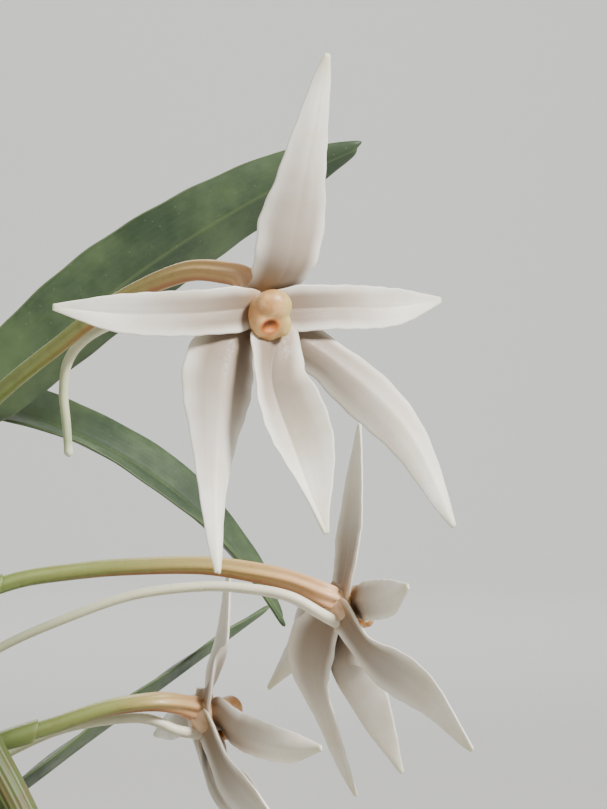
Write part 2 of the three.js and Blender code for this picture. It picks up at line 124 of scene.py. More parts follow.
def eased(table: Table, t: float) -> float:
    """Reads a table smoothly.

    Args:
        table: Rows of (share, value), rising by share.
        t: The share to read at.

    Returns:
        The value at t, on a smooth curve through the rows.
    """
    last = len(table) - 1
    i = 0
    while i < last - 1 and t > table[i + 1][0]:
        i += 1

    def slope(a: int, b: int) -> float:
        """How steeply the table rises between two rows."""
        return (table[b][1] - table[a][1]) / (table[b][0] - table[a][0])

    span = table[i + 1][0] - table[i][0]
    m0 = slope(max(i - 1, 0), i + 1) * span
    m1 = slope(i, min(i + 2, last)) * span
    s = (t - table[i][0]) / span
    s2 = s * s
    s3 = s2 * s
    return (2 * s3 - 3 * s2 + 1) * table[i][1] + (s3 - 2 * s2 + s) * m0 \
        + (3 * s2 - 2 * s3) * table[i + 1][1] + (s3 - s2) * m1


def ramp(low: float, high: float, value: float) -> float:
    """A soft step: 0 below low, 1 above high."""
    share = min(1.0, max(0.0, (value - low) / (high - low)))
    return share * share * (3 - 2 * share)


class Route:
    """A smooth line through chosen points, the same line as the solids follow."""

    STEPS = 200

    def __init__(self, points: Sequence[Vector]) -> None:
        """Args:
            points: The points that the line goes through, in metres.
        """
        self.count = len(points)
        self.points = [2 * points[0] - points[1], *points, 2 * points[-1] - points[-2]]
        self.lengths = [0.0]
        previous = self.point(0)
        for i in range(1, self.STEPS + 1):
            here = self.point(i / self.STEPS)
            self.lengths.append(self.lengths[-1] + (here - previous).length)
            previous = here

    def _segment(self, t: float) -> tuple[Vector, Vector, Vector, Vector, float]:
        """The stretch that holds a share of the points: its ends, its slopes there, and the place in it."""
        place = min(max(t, 0.0), 1.0) * (self.count - 1)
        i = min(int(place), self.count - 2)
        before, start, end, after = self.points[i:i + 4]
        return start, end, (end - before) / 2, (after - start) / 2, place - i

    def point(self, t: float) -> Vector:
        """The place at a share of the line's points."""
        start, end, leave, arrive, w = self._segment(t)
        return start * (2 * w ** 3 - 3 * w ** 2 + 1) + leave * (w ** 3 - 2 * w ** 2 + w) \
            + end * (3 * w ** 2 - 2 * w ** 3) + arrive * (w ** 3 - w ** 2)

    def tangent(self, t: float) -> Vector:
        """The line's direction at a share of its points."""
        start, end, leave, arrive, w = self._segment(t)
        return (start * (6 * w ** 2 - 6 * w) + leave * (3 * w ** 2 - 4 * w + 1)
                + end * (6 * w - 6 * w ** 2) + arrive * (3 * w ** 2 - 2 * w)).normalized()

    def share_at_length(self, part: float) -> float:
        """The share of the points that lies at a share of the length."""
        wanted = min(max(part, 0.0), 1.0) * self.lengths[-1]
        i = min(max(bisect.bisect_left(self.lengths, wanted), 1), self.STEPS)
        span = self.lengths[i] - self.lengths[i - 1]
        return (i - 1 + (wanted - self.lengths[i - 1]) / span) / self.STEPS

    def length_at(self, t: float) -> float:
        """The share of the length at which a share of the points lies."""
        place = min(max(t, 0.0), 1.0) * self.STEPS
        i = min(int(place), self.STEPS - 1)
        return (self.lengths[i] + (self.lengths[i + 1] - self.lengths[i]) * (place - i)) / self.lengths[-1]

    def share_at_height(self, height: float) -> float:
        """The share of the points at which a rising line reaches a height."""
        low, high = 0.0, 1.0
        for _ in range(30):
            middle = (low + high) / 2
            low, high = (middle, high) if self.point(middle).z < height else (low, middle)
        return low


def deselect() -> None:
    """Leaves nothing selected, so that an operator acts on the new piece alone."""
    bpy.ops.object.select_all(action="DESELECT")


def take(piece: bpy.types.Object) -> None:
    """Selects one piece alone and makes it the active one."""
    deselect()
    piece.select_set(True)
    bpy.context.view_layer.objects.active = piece


@contextmanager
def editing(piece: bpy.types.Object) -> Iterator[bmesh.types.BMesh]:
    """Edit mode on one piece, with nothing selected in it at the start.

    Args:
        piece: The mesh to edit.

    Yields:
        Its edit mesh, to select faces and edges in.
    """
    take(piece)
    bpy.ops.object.mode_set(mode="EDIT")
    bpy.ops.mesh.select_all(action="DESELECT")
    yield bmesh.from_edit_mesh(piece.data)
    bpy.ops.object.mode_set(mode="OBJECT")


def shape(piece: bpy.types.Object, kind: str, **settings: Value) -> None:
    """Adds a modifier, sets it and applies it.

    Args:
        piece: The piece to shape.
        kind: The modifier's type.
        settings: The modifier's own settings.
    """
    take(piece)
    bpy.ops.object.modifier_add(type=kind)
    modifier = piece.modifiers[-1]
    for key, value in settings.items():
        setattr(modifier, key, value)
    bpy.ops.object.modifier_apply(modifier=modifier.name)


def refine(piece: bpy.types.Object, levels: int) -> None:
    """Subdivides a piece smoothly and shades it smooth."""
    shape(piece, "SUBSURF", levels=levels, render_levels=levels)
    bpy.ops.object.shade_smooth()


def settle(piece: bpy.types.Object) -> None:
    """Puts the object at the origin, unturned and unscaled, with its place in its mesh."""
    take(piece)
    bpy.ops.object.transform_apply(location=True, rotation=True, scale=True)


def join(name: str, pieces: Sequence[bpy.types.Object]) -> bpy.types.Object:
    """Joins several pieces in one, under a new name."""
    deselect()
    for piece in pieces:
        piece.select_set(True)
    bpy.context.view_layer.objects.active = pieces[0]
    bpy.ops.object.join()
    pieces[0].name = name
    return pieces[0]


def mark(piece: bpy.types.Object, name: str, value: float | Callable[[Vector], float]) -> None:
    """Stores a number on each point of a piece, for its finish to read.

    Args:
        piece: The piece to mark.
        name: The attribute's name.
        value: The number, or a function of a point that gives it.
    """
    attribute = piece.data.attributes.new(name, "FLOAT", "POINT")
    for i, vertex in enumerate(piece.data.vertices):
        attribute.data[i].value = value(vertex.co) if callable(value) else value


def present(
    piece: bpy.types.Object, slot: Slot, finishes: Sequence[bpy.types.Material], nodes: Sequence[str]
) -> bpy.types.Object:
    """Dresses a finished piece and sets it on the frame.

    Args:
        piece: The piece, in place.
        slot: The record's material slot that it belongs to; not used.
        finishes: Its materials, in the order of its mesh's slots.
        nodes: The solids that it stands for.

    Returns:
        The same piece.
    """
    if not piece.data.materials:
        for finish in finishes:
            piece.data.materials.append(finish)
    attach(piece, "root")
    if nodes:
        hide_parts(*nodes)
    log.info("%s: %d faces", piece.name, len(piece.data.polygons))
    return piece


@dataclass(frozen=True)
class Ring:
    """One round section of a grown piece."""

    middle: Vector
    along: Vector
    across: Vector
    radius: float
    share: float


def rings_along(route: Route, stations: Table) -> list[Ring]:
    """Sets round sections along a route, turned as little as the route allows.

    Args:
        route: The line through their middles.
        stations: (share of the route's points, radius in metres), in order.

    Returns:
        The sections.
    """
    rings: list[Ring] = []
    across: Vector | None = None
    for t, radius in stations:
        along = route.tangent(t)
        if across is None:
            across = along.cross(FORWARD if abs(along.z) > 0.7 else UP)
        across = (across - along * across.dot(along)).normalized()
        rings.append(Ring(route.point(t), along, across, radius, t))
    return rings


def even(count: int, radius_at: Callable[[float], float], start: float = 0.0, end: float = 1.0) -> Table:
    """Stations at even steps, with the radius from a function of the share."""
    shares = [start + (end - start) * i / (count - 1) for i in range(count)]
    return [(t, radius_at(t)) for t in shares]


def grow(
    name: str, rings: Sequence[Ring], sides: int, closed: bool = True,
    relief: Callable[[float, float], float] | None = None,
) -> bpy.types.Object:
    """Grows a round piece: a circle at each section, bridged from end to end.

    Args:
        name: The piece's name.
        rings: Its sections.
        sides: Corners of each section.
        closed: Whether the two ends are capped.
        relief: Share of the radius to add, from (share along, turn in radians).

    Returns:
        The piece, with a UV map of turns round and shares along.
    """
    deselect()
    first = rings[0]
    bpy.ops.mesh.primitive_circle_add(vertices=sides, radius=first.radius, location=(0, 0, 0))
    piece = bpy.context.active_object
    piece.name = name
    turned: list[Matrix] = []
    with editing(piece):
        bpy.ops.mesh.select_all(action="SELECT")
        bpy.ops.mesh.delete(type="VERT")
        for ring in rings:
            axes = Matrix((ring.across, ring.along.cross(ring.across), ring.along)).transposed()
            turned.append(axes)
            bpy.ops.mesh.primitive_circle_add(
                vertices=sides, radius=ring.radius, location=ring.middle, rotation=axes.to_euler())
        bpy.ops.mesh.select_all(action="SELECT")
        bpy.ops.mesh.bridge_edge_loops()
        if closed:
            bpy.ops.mesh.select_all(action="DESELECT")
            bpy.ops.mesh.select_non_manifold(extend=False, use_wire=True, use_boundary=True)
            bpy.ops.mesh.edge_face_add()
        bpy.ops.mesh.select_all(action="SELECT")
        bpy.ops.mesh.normals_make_consistent(inside=False)
    vertices = piece.data.vertices
    turns: list[float] = []
    for i, vertex in enumerate(vertices):
        ring, axes = rings[i // sides], turned[i // sides]
        local = axes.inverted() @ (vertex.co - ring.middle)
        turn = math.atan2(local.y, local.x) % math.tau
        turns.append(turn / math.tau)
        if relief:
            vertex.co = ring.middle + (vertex.co - ring.middle) * (1 + relief(ring.share, turn))
    uv = (piece.data.uv_layers.active or piece.data.uv_layers.new(name="UVMap")).data
    for face in piece.data.polygons:
        spans = [turns[v] for v in face.vertices]
        wraps = max(spans) - min(spans) > 0.5 and len(face.vertices) == 4
        for loop, v in zip(face.loop_indices, face.vertices):
            lap = 1 if wraps and turns[v] < 0.5 else 0
            uv[loop].uv = turns[v] + lap, rings[v // sides].share
    return piece


@dataclass(frozen=True)
class Blade:
    """How a petal, a lip or a leaf is formed about its midrib. Lengths are millimetres.

    Attributes:
        outline: Half widths along it.
        thickness: At the midrib, near its foot.
        margin: Thickness at its edge, as a share of that at the midrib.
        fold: How far its halves are folded up, in degrees; down if negative.
        crease: How round the fold is, as a share of the half width.
        groove: Depth of the channel over the midrib.
        wave: How far its margins wave.
        waves: How many waves there are along it.
        clasp: The fold at its very foot, in degrees, or None to keep the fold.
        clasp_end: Share of its length at which the clasp has passed into the fold.
        lobes: Whether its tip has two unequal lobes, as the leaves have.
        flare: Half width that its foot has over the outline's.
        columns: Faces across.
        rows: Faces along.
    """

    outline: Table
    thickness: float
    margin: float
    fold: float
    crease: float
    groove: float
    wave: float
    waves: float
    columns: int
    rows: int
    clasp: float | None = None
    clasp_end: float = 0.14
    lobes: bool = False
    flare: float = 0.0

    def fold_at(self, t: float) -> float:
        """The fold in radians at a share of the length."""
        if self.clasp is None:
            return math.radians(self.fold)
        return math.radians(self.fold + (self.clasp - self.fold) * (1 - ramp(0.0, self.clasp_end, t)))

    def bow(self, s: float) -> float:
        """How far up the fold a point lies: 0 at the midrib, 1 at the margin."""
        c = self.crease
        return (math.hypot(s, c) - c) / (math.hypot(1, c) - c)

    def lay(
        self, name: str, route: Route, facing: Vector, seed: int, scale: float = 1.0, roll: float = 0.0,
        lead: float = 0.0,
    ) -> bpy.types.Object:
        """Lays a grid along a midrib, folds it, and gives it its thickness.

        Args:
            name: The piece's name.
            route: The midrib.
            facing: Where the upper face looks.
            seed: Sets where its waves and small dents lie.
            scale: Multiplies the outline's half widths.
            roll: Turn about the midrib, in degrees.
            lead: Share of the length that lies before the outline starts, with its width there.

        Returns:
            The piece, with a UV map of (across, along).
        """
        deselect()
        bpy.ops.mesh.primitive_grid_add(
            x_subdivisions=self.columns, y_subdivisions=self.rows, size=2, location=(0, 0, 0))
        piece = bpy.context.active_object
        piece.name = name
        body = piece.vertex_groups.new(name="body")
        length = route.lengths[-1] / MM
        phase = random.Random(seed).uniform(0, math.tau)
        for vertex in piece.data.vertices:
            s, t = -vertex.co.x, (vertex.co.y + 1) / 2
            reach = t
            if self.lobes:
                notch = 0.9 * math.exp(-(s / 0.2) ** 2) + 1.2 * ramp(-0.1, 0.5, s) + 2.2 * abs(s) ** 4
                reach -= ramp(0.8, 1.0, t) * notch / length
            share = route.share_at_length(reach)
            along = route.tangent(share)
            side = Matrix.Rotation(math.radians(roll), 3, along) @ facing.cross(along).normalized()
            face = along.cross(side)
            half = eased(self.outline, max(0.0, (t - lead) / (1 - lead))) * scale
            half += self.flare * (1 - ramp(0.04, 0.3, t)) * (0.4 + 0.6 * ramp(0.0, 0.07, t))
            fold = self.fold_at(t)
            free = ramp(0.0, 0.2, t) * ramp(1.0, 0.8, t)
            rise = self.bow(s) * half * math.sin(fold)
            rise -= self.groove * math.exp(-(s / 0.09) ** 2) * ramp(1.0, 0.75, t)
            turn = phase + math.copysign(1.3, s) + self.waves * math.tau * t
            rise += self.wave * s * s * free * math.sin(turn)
            spread = s * half * math.cos(fold) * (1 + 0.02 * free * math.sin(phase + 9 * t * math.tau))
            dent = noise.noise(Vector((s * 1.7, t * 5, seed * 3.7))) * 0.12 * free * self.thickness
            vertex.co = route.point(share) + side * (spread * MM) + face * ((rise + dent) * MM)
            weight = (1 - abs(s) ** 2.2) * (1 - 0.35 * t)
            body.add([vertex.index], max(0.0, weight), "REPLACE")
        shape(piece, "SOLIDIFY", thickness=self.thickness * MM, offset=0.0, vertex_group="body",
              thickness_vertex_group=self.margin, material_offset=1, material_offset_rim=1)
        refine(piece, 1)
        return piece


class Recipe:
    """One material's nodes, with short names for the kinds that the finishes share."""

    def __init__(self, name: str, **sockets: Value) -> None:
        """Args:
            name: The material's name.
            sockets: Values that are the same all over, by the shader's socket, with _ for a space.
        """
        self.material = bpy.data.materials.new(name)
        self.material.use_nodes = True
        self.tree = self.material.node_tree
        self.shader = self.tree.nodes["Principled BSDF"]
        for key, value in sockets.items():
            self.shader.inputs[key.replace("_", " ")].default_value = value

    def feed(self, socket: bpy.types.NodeSocket, value: Value) -> None:
        """Links an output to a socket, or sets the socket's own value."""
        if isinstance(value, bpy.types.NodeSocket):
            self.tree.links.new(value, socket)
        else:
            socket.default_value = value

    def add(self, kind: str, values: dict[str | int, Value], **settings: Value) -> bpy.types.Node:
        """Adds a node.

        Args:
            kind: Its type, without the common beginning.
            values: What its sockets take, by name or number.
            settings: Its own settings.

        Returns:
            The node.
        """
        node = self.tree.nodes.new("ShaderNode" + kind)
        for key, value in settings.items():
            setattr(node, key, value)
        for key, value in values.items():
            self.feed(node.inputs[key], value)
        return node

    def place(self, stretch: Point = (1, 1, 1)) -> bpy.types.NodeSocket:
        """Object coordinates in millimetres, stretched if asked."""
        source = self.add("TexCoord", {}).outputs["Object"]
        scale = tuple(part / MM for part in stretch)
        return self.add("Mapping", {"Vector": source, "Scale": scale}).outputs["Vector"]

    def across_and_along(self) -> tuple[bpy.types.NodeSocket, bpy.types.NodeSocket]:
        """The two coordinates of the piece's own UV map."""
        source = self.add("TexCoord", {}).outputs["UV"]
        parts = self.add("SeparateXYZ", {"Vector": source}).outputs
        return parts["X"], parts["Y"]

    def attribute(self, name: str) -> bpy.types.NodeSocket:
        """A number that is stored on the piece's points."""
        return self.add("Attribute", {}, attribute_name=name).outputs["Fac"]

    def noise(
        self, where: Value, scale: float, detail: float = 3, rough: float = 0.55
    ) -> bpy.types.NodeSocket:
        """Cloudy noise, with scale in features per millimetre."""
        values = {"Vector": where, "Scale": scale, "Detail": detail, "Roughness": rough}
        return self.add("TexNoise", values).outputs["Fac"]

    def cells(self, where: Value, scale: float, feature: str = "F1") -> bpy.types.NodeSocket:
        """Distance to the nearest of scattered points, or to the edge between them."""
        node = self.add("TexVoronoi", {"Vector": where, "Scale": scale}, feature=feature)
        return node.outputs["Distance"]

    def maths(self, operation: str, a: Value, b: Value = 0.5) -> bpy.types.NodeSocket:
        """One sum on two numbers."""
        return self.add("Math", {0: a, 1: b}, operation=operation).outputs[0]

    def spread(
        self, value: Value, low: float, high: float, new_low: float = 0.0, new_high: float = 1.0
    ) -> bpy.types.NodeSocket:
        """Stretches a part of a value's range to a new range, smoothly, and holds it there."""
        values = {0: value, 1: low, 2: high, 3: new_low, 4: new_high}
        return self.add("MapRange", values, interpolation_type="SMOOTHSTEP").outputs[0]

    def mix(self, share: Value, a: Value, b: Value, blend: str = "MIX") -> bpy.types.NodeSocket:
        """Mixes two colours by a share."""
        return self.add("Mix", {0: share, 6: a, 7: b}, data_type="RGBA", blend_type=blend).outputs[2]

    def gradient(self, value: Value, stops: Sequence[tuple[float, Colour]]) -> bpy.types.NodeSocket:
        """A colour from a row of stops."""
        node = self.add("ValToRGB", {"Fac": value})
        elements = node.color_ramp.elements
        for element, (position, colour) in zip((elements[0], elements[-1]), (stops[0], stops[-1])):
            element.position = position
            element.color = colour
        for position, colour in stops[1:-1]:
            elements.new(position).color = colour
        return node.outputs["Color"]

    def stripes(self, across: Value, count: float, along: Value, wander: float) -> bpy.types.NodeSocket:
        """Lengthwise stripes, 0 to 1, that wander a little."""
        place = self.add("CombineXYZ", {0: across, 1: along}).outputs[0]
        drift = self.maths("MULTIPLY", self.noise(place, 4), wander)
        turn = self.maths("MULTIPLY", self.maths("ADD", across, drift), count * math.tau)
        return self.maths("MULTIPLY_ADD", self.maths("SINE", turn), 0.5)

    def finish(
        self, colour: Value, roughness: Value, bumps: Sequence[tuple[Value, float, float]]
    ) -> bpy.types.Material:
        """Links the finished colour, roughness and bumps to the shader.

        Args:
            colour: The base colour.
            roughness: The roughness.
            bumps: (height, strength, depth in millimetres), coarse to fine.

        Returns:
            The material.
        """
        self.feed(self.shader.inputs["Base Color"], colour)
        self.feed(self.shader.inputs["Roughness"], roughness)
        normal: bpy.types.NodeSocket | None = None
        for height, strength, depth in bumps:
            node = self.add("Bump", {"Height": height, "Strength": strength, "Distance": depth * MM})
            if normal:
                self.feed(node.inputs["Normal"], normal)
            normal = node.outputs["Normal"]
        if normal:
            self.feed(self.shader.inputs["Normal"], normal)
        return self.material


@dataclass(frozen=True)
class TepalFinish:
    """Waxy white flesh with faint nerves, painted tan shade near its middle, a cream foot deepened in part by
    painted shade, and a greenish tip.
    """

    name: str
    body: Colour
    shade: Colour
    # Painted shade: the tan that darkens the middle of the tepal near its foot.
    painted_throat_shade: Colour
    # The foot's own cream, deepened in part as painted shade.
    foot: Colour
    tip: Colour
    nerve: Colour

    def make(self) -> bpy.types.Material:
        """Builds the material."""
        r = Recipe(self.name, Specular_IOR_Level=0.4, Subsurface_Weight=0.2,
                   Subsurface_Radius=(1.0, 0.86, 0.68), Subsurface_Scale=0.0009)
        across, along = r.across_and_along()
        where = r.place()
        cloud = r.spread(r.noise(where, 0.22, 4), 0.35, 0.68)
        colour = r.mix(cloud, self.body, self.shade)
        nerves = r.spread(r.stripes(across, 7, along, 0.03), 0.72, 1.0, 0, 0.14)
        colour = r.mix(nerves, colour, self.nerve)
        away = r.maths("ABSOLUTE", r.maths("SUBTRACT", across, 0.5))
        colour = r.mix(r.spread(away, 0.0, 0.05, 0.2, 0), colour, self.nerve)
        # Painted shade: darkens the tepal towards its foot and away from its margins.
        inner = r.maths("MULTIPLY", r.spread(along, 0.85, 0.1), r.spread(away, 0.5, 0.25, 0.2, 1.0))
        colour = r.mix(inner, colour, self.painted_throat_shade)
        # The cream foot: partly the tepal's own colour, partly painted shade beside the column.
        colour = r.mix(r.spread(along, 0.14, 0.0, 0, 0.75), colour, self.foot)
        colour = r.mix(r.spread(along, 0.86, 1.0, 0, 0.8), colour, self.tip)
        grain = r.cells(where, 9.0)
        roughness = r.spread(r.noise(where, 3.0), 0.3, 0.7, 0.42, 0.58)
        return r.finish(colour, roughness, [(nerves, 0.3, 0.06), (grain, 0.25, 0.03)])


@dataclass(frozen=True)
class LeafFinish:
    """Leathery green with fine lengthwise veins, a paler midrib and a thin pale edge."""

    name: str
    deep: Colour
    light: Colour
    midrib: Colour
    gloss: float

    def make(self) -> bpy.types.Material:
        """Builds the material."""
        r = Recipe(self.name, Specular_IOR_Level=0.32, Subsurface_Weight=0.06,
                   Subsurface_Radius=(0.4, 0.9, 0.2), Subsurface_Scale=0.0008)
        across, along = r.across_and_along()
        where = r.place()
        cloud = r.spread(r.noise(where, 0.12, 5), 0.32, 0.7)
        colour = r.mix(cloud, self.deep, self.light)
        veins = r.stripes(across, 15, along, 0.02)
        colour = r.mix(r.maths("MULTIPLY", veins, 0.07), colour, self.light)
        away = r.maths("ABSOLUTE", r.maths("SUBTRACT", across, 0.5))
        colour = r.mix(r.spread(away, 0.0, 0.03, 0.28, 0), colour, self.midrib)
        colour = r.mix(r.spread(away, 0.485, 0.5, 0, 0.55), colour, self.midrib)
        colour = r.mix(r.spread(along, 0.12, 0.0, 0, 0.7), colour, self.midrib)
        specks = r.spread(r.cells(where, 0.9), 0.06, 0.12, 0.35, 0)
        colour = r.mix(specks, colour, self.midrib)
        roughness = r.spread(r.noise(where, 0.8), 0.3, 0.7, self.gloss - 0.07, self.gloss + 0.08)
        return r.finish(colour, roughness, [(veins, 0.1, 0.03), (r.noise(where, 6.0), 0.12, 0.03)])


@dataclass(frozen=True)
class SheathFinish:
    """Leaf bases that wrap the stem, green above and papery brown on the older ones below."""

    name: str
    green: Colour
    blush: Colour
    straw: Colour
    fibre: Colour

    def make(self) -> bpy.types.Material:
        """Builds the material."""
        r = Recipe(self.name, Specular_IOR_Level=0.35)
        across, along = r.across_and_along()
        where = r.place()
        age = r.attribute("age")
        patch = r.noise(where, 0.5, 4)
        fresh = r.mix(r.spread(patch, 0.45, 0.7, 0, 0.6), self.green, self.blush)
        worn = r.mix(r.spread(r.noise(r.place((1, 1, 0.15)), 1.6, 5), 0.35, 0.65), self.straw, self.fibre)
        aged = r.spread(r.maths("ADD", age, r.maths("MULTIPLY", patch, 0.35)), 0.55, 0.8)
        colour = r.mix(aged, fresh, worn)
        colour = r.mix(r.spread(along, 0.9, 1.0, 0, 0.6), colour, self.fibre)
        ribs = r.stripes(across, 22, along, 0.01)
        colour = r.mix(r.maths("MULTIPLY", ribs, 0.2), colour, self.fibre)
        specks = r.spread(r.cells(where, 2.2), 0.08, 0.16, 0.5, 0)
        colour = r.mix(specks, colour, self.fibre)
        roughness = r.spread(age, 0, 1, 0.45, 0.8)
        return r.finish(colour, roughness, [(ribs, 0.5, 0.12), (r.noise(where, 5), 0.2, 0.05)])


@dataclass(frozen=True)
class StalkFinish:
    """Ridged flower stalk that turns from green to the flower's own warm cream, with a reddish-brown stripe
    on its underside that is partly painted shade.
    """

    name: str
    stops: Sequence[tuple[float, Colour]]
    ridge: Colour
    ridges: float
    # Underside stripe colour: partly the stalk's own reddish tinge, partly painted shade.
    stripe: Colour
    stripe_share: float

    def make(self) -> bpy.types.Material:
        """Builds the material."""
        r = Recipe(self.name, Specular_IOR_Level=0.45, Subsurface_Weight=0.15,
                   Subsurface_Radius=(1.0, 0.7, 0.35), Subsurface_Scale=0.0008)
        across, along = r.across_and_along()
        where = r.place()
        colour = r.gradient(along, self.stops)
        # A stripe down the lower side: partly the stalk's own reddish-brown, partly painted shade on its
        # underside.
        below = r.maths("ABSOLUTE", r.maths("SUBTRACT", r.maths("FRACT", across, 0), 0.2))
        reach = r.spread(along, 0.25, 0.45, 0, self.stripe_share)
        sides = r.maths("MULTIPLY", r.spread(below, 0.13, 0.04), reach)
        colour = r.mix(r.maths("MULTIPLY", sides, r.spread(along, 0.93, 0.8)), colour, self.stripe)
        bands = r.stripes(across, self.ridges, along, 0.04)
        colour = r.mix(r.maths("MULTIPLY", bands, 0.35), colour, self.ridge, "MULTIPLY")
        colour = r.mix(r.spread(r.noise(where, 0.9, 4), 0.5, 0.75, 0, 0.3), colour, self.ridge, "MULTIPLY")
        roughness = r.spread(r.noise(where, 2.0), 0.3, 0.7, 0.38, 0.52)
        return r.finish(colour, roughness, [(bands, 0.3, 0.12), (r.noise(where, 7), 0.15, 0.03)])


@dataclass(frozen=True)
class ColumnFinish:
    """The waxy flesh of the column and its cap, with the stigma's sticky hollow, its orange deepened to brown
    under the hood as painted shade.
    """

    name: str
    pale: Colour
    warm: Colour
    fresh: Colour
    hollow: Colour
    # Painted shade: the stigma's dark brown under the hood.
    depth: Colour

    def make(self) -> bpy.types.Material:
        """Builds the material."""
        r = Recipe(self.name, Subsurface_Weight=0.2, Subsurface_Radius=(1.0, 0.75, 0.45),
                   Subsurface_Scale=0.0008, Coat_Weight=0.05, Coat_Roughness=0.3,
                   Specular_IOR_Level=0.35)
        where = r.place()
        colour = r.mix(r.spread(r.noise(where, 0.7, 3), 0.35, 0.65), self.pale, self.warm)
        colour = r.mix(r.maths("MULTIPLY", r.attribute("right"), 0.6), colour, self.fresh)
        colour = r.mix(r.spread(r.cells(where, 4), 0.1, 0.25, 0.2, 0), colour, self.warm, "MULTIPLY")
        stigma = r.attribute("stigma")
        colour = r.mix(r.spread(stigma, 0.1, 0.6), colour, self.hollow)
        # Painted shade: the stigma turns dark brown under the hood and towards the left.
        colour = r.mix(r.spread(stigma, 0.65, 1.0), colour, self.depth)
        return r.finish(colour, r.spread(stigma, 0.2, 0.8, 0.42, 0.62), [(r.noise(where, 4), 0.2, 0.05)])


@dataclass(frozen=True)
class RootFinish:
    """Spongy silver skin over green, with a bright growing tip."""

    name: str
    silver: Colour
    green: Colour
    dirt: Colour
    tip: Colour

    def make(self) -> bpy.types.Material:
        """Builds the material."""
        r = Recipe(self.name, Specular_IOR_Level=0.3, Subsurface_Weight=0.05, Subsurface_Scale=0.0006)
        across, along = r.across_and_along()
        where = r.place()
        colour = r.mix(r.spread(r.noise(where, 0.35, 5), 0.42, 0.62), self.silver, self.green)
        colour = r.mix(r.spread(r.noise(where, 1.1, 4), 0.56, 0.72, 0, 0.7), colour, self.dirt)
        skin = r.add("CombineXYZ", {0: across, 1: r.maths("MULTIPLY", along, 9)}).outputs[0]
        rings = r.spread(r.noise(skin, 6), 0.5, 0.7)
        colour = r.mix(r.maths("MULTIPLY", rings, 0.25), colour, self.dirt)
        colour = r.mix(r.spread(along, 0.9, 0.97), colour, self.tip)
        bumps = [(r.noise(where, 1.2, 5), 0.5, 0.25), (r.cells(where, 5), 0.35, 0.08)]
        return r.finish(colour, r.spread(along, 0.9, 0.97, 0.82, 0.4), bumps)


@dataclass(frozen=True)
class ClayFinish:
    """Fired clay with a chalky bloom, damp below, and grit."""

    name: str
    clay: Colour
    dark: Colour
    bloom: Colour
    damp: Colour

    def make(self) -> bpy.types.Material:
        """Builds the material."""
        r = Recipe(self.name, Specular_IOR_Level=0.25)
        where = r.place()
        height = r.add("SeparateXYZ", {"Vector": where}).outputs["Z"]
        colour = r.mix(r.spread(r.noise(where, 0.06, 5), 0.35, 0.65), self.clay, self.dark)
        streaks = r.noise(r.place((1, 1, 0.18)), 0.14, 6, 0.62)
        low = r.spread(height, 46, 4, 0.0, 0.26)
        chalk = r.spread(r.maths("ADD", streaks, low), 0.56, 0.78, 0, 0.75)
        colour = r.mix(chalk, colour, self.bloom)
        wet = r.maths("ADD", r.noise(where, 0.09, 4), r.spread(height, 16, 0, 0, 0.3))
        colour = r.mix(r.spread(wet, 0.6, 0.8, 0, 0.7), colour, self.damp)
        grit = r.spread(r.cells(where, 1.3), 0.05, 0.16, 0.5, 0)
        colour = r.mix(grit, colour, self.dark)
        pale = r.spread(r.cells(r.place((1.1, 1.1, 1.1)), 0.9), 0.04, 0.1, 0.6, 0)
        colour = r.mix(pale, colour, self.bloom)
        bumps = [(r.noise(where, 0.35, 6, 0.65), 0.3, 0.5), (r.noise(where, 3.5, 4), 0.35, 0.15),
                 (grit, -0.4, 0.1)]
        return r.finish(colour, r.spread(chalk, 0, 0.75, 0.78, 0.92), bumps)


@dataclass(frozen=True)
class BarkFinish:
    """Chips of conifer bark: layered, fibrous and dusty."""

    name: str
    russet: Colour
    dark: Colour
    pale: Colour

    def make(self) -> bpy.types.Material:
        """Builds the material."""
        r = Recipe(self.name, Specular_IOR_Level=0.2)
        across, along = r.across_and_along()
        where = r.place()
        tone = r.attribute("tone")
        grain = r.add("CombineXYZ", {0: across, 1: r.maths("MULTIPLY", along, 7), 2: tone}).outputs[0]
        layers = r.noise(grain, 5, 6, 0.65)
        colour = r.mix(tone, self.dark, self.russet)
        colour = r.mix(r.spread(layers, 0.4, 0.7), colour, self.dark)
        colour = r.mix(r.spread(r.noise(where, 0.5, 5), 0.52, 0.75, 0, 0.75), colour, self.pale)
        colour = r.mix(r.spread(r.noise(where, 2.4, 4), 0.55, 0.75, 0, 0.6), colour, self.russet)
        bumps = [(layers, 0.6, 0.6), (r.noise(where, 1.8, 5, 0.7), 0.6, 0.3)]
        return r.finish(colour, 0.9, bumps)


@dataclass(frozen=True)
class PlainFinish:
    """The pale paper of the studio floor."""

    name: str
    colour: Colour

    def make(self) -> bpy.types.Material:
        """Builds the material."""
        r = Recipe(self.name, Specular_IOR_Level=0.1)
        return r.finish(self.colour, 0.95, [])


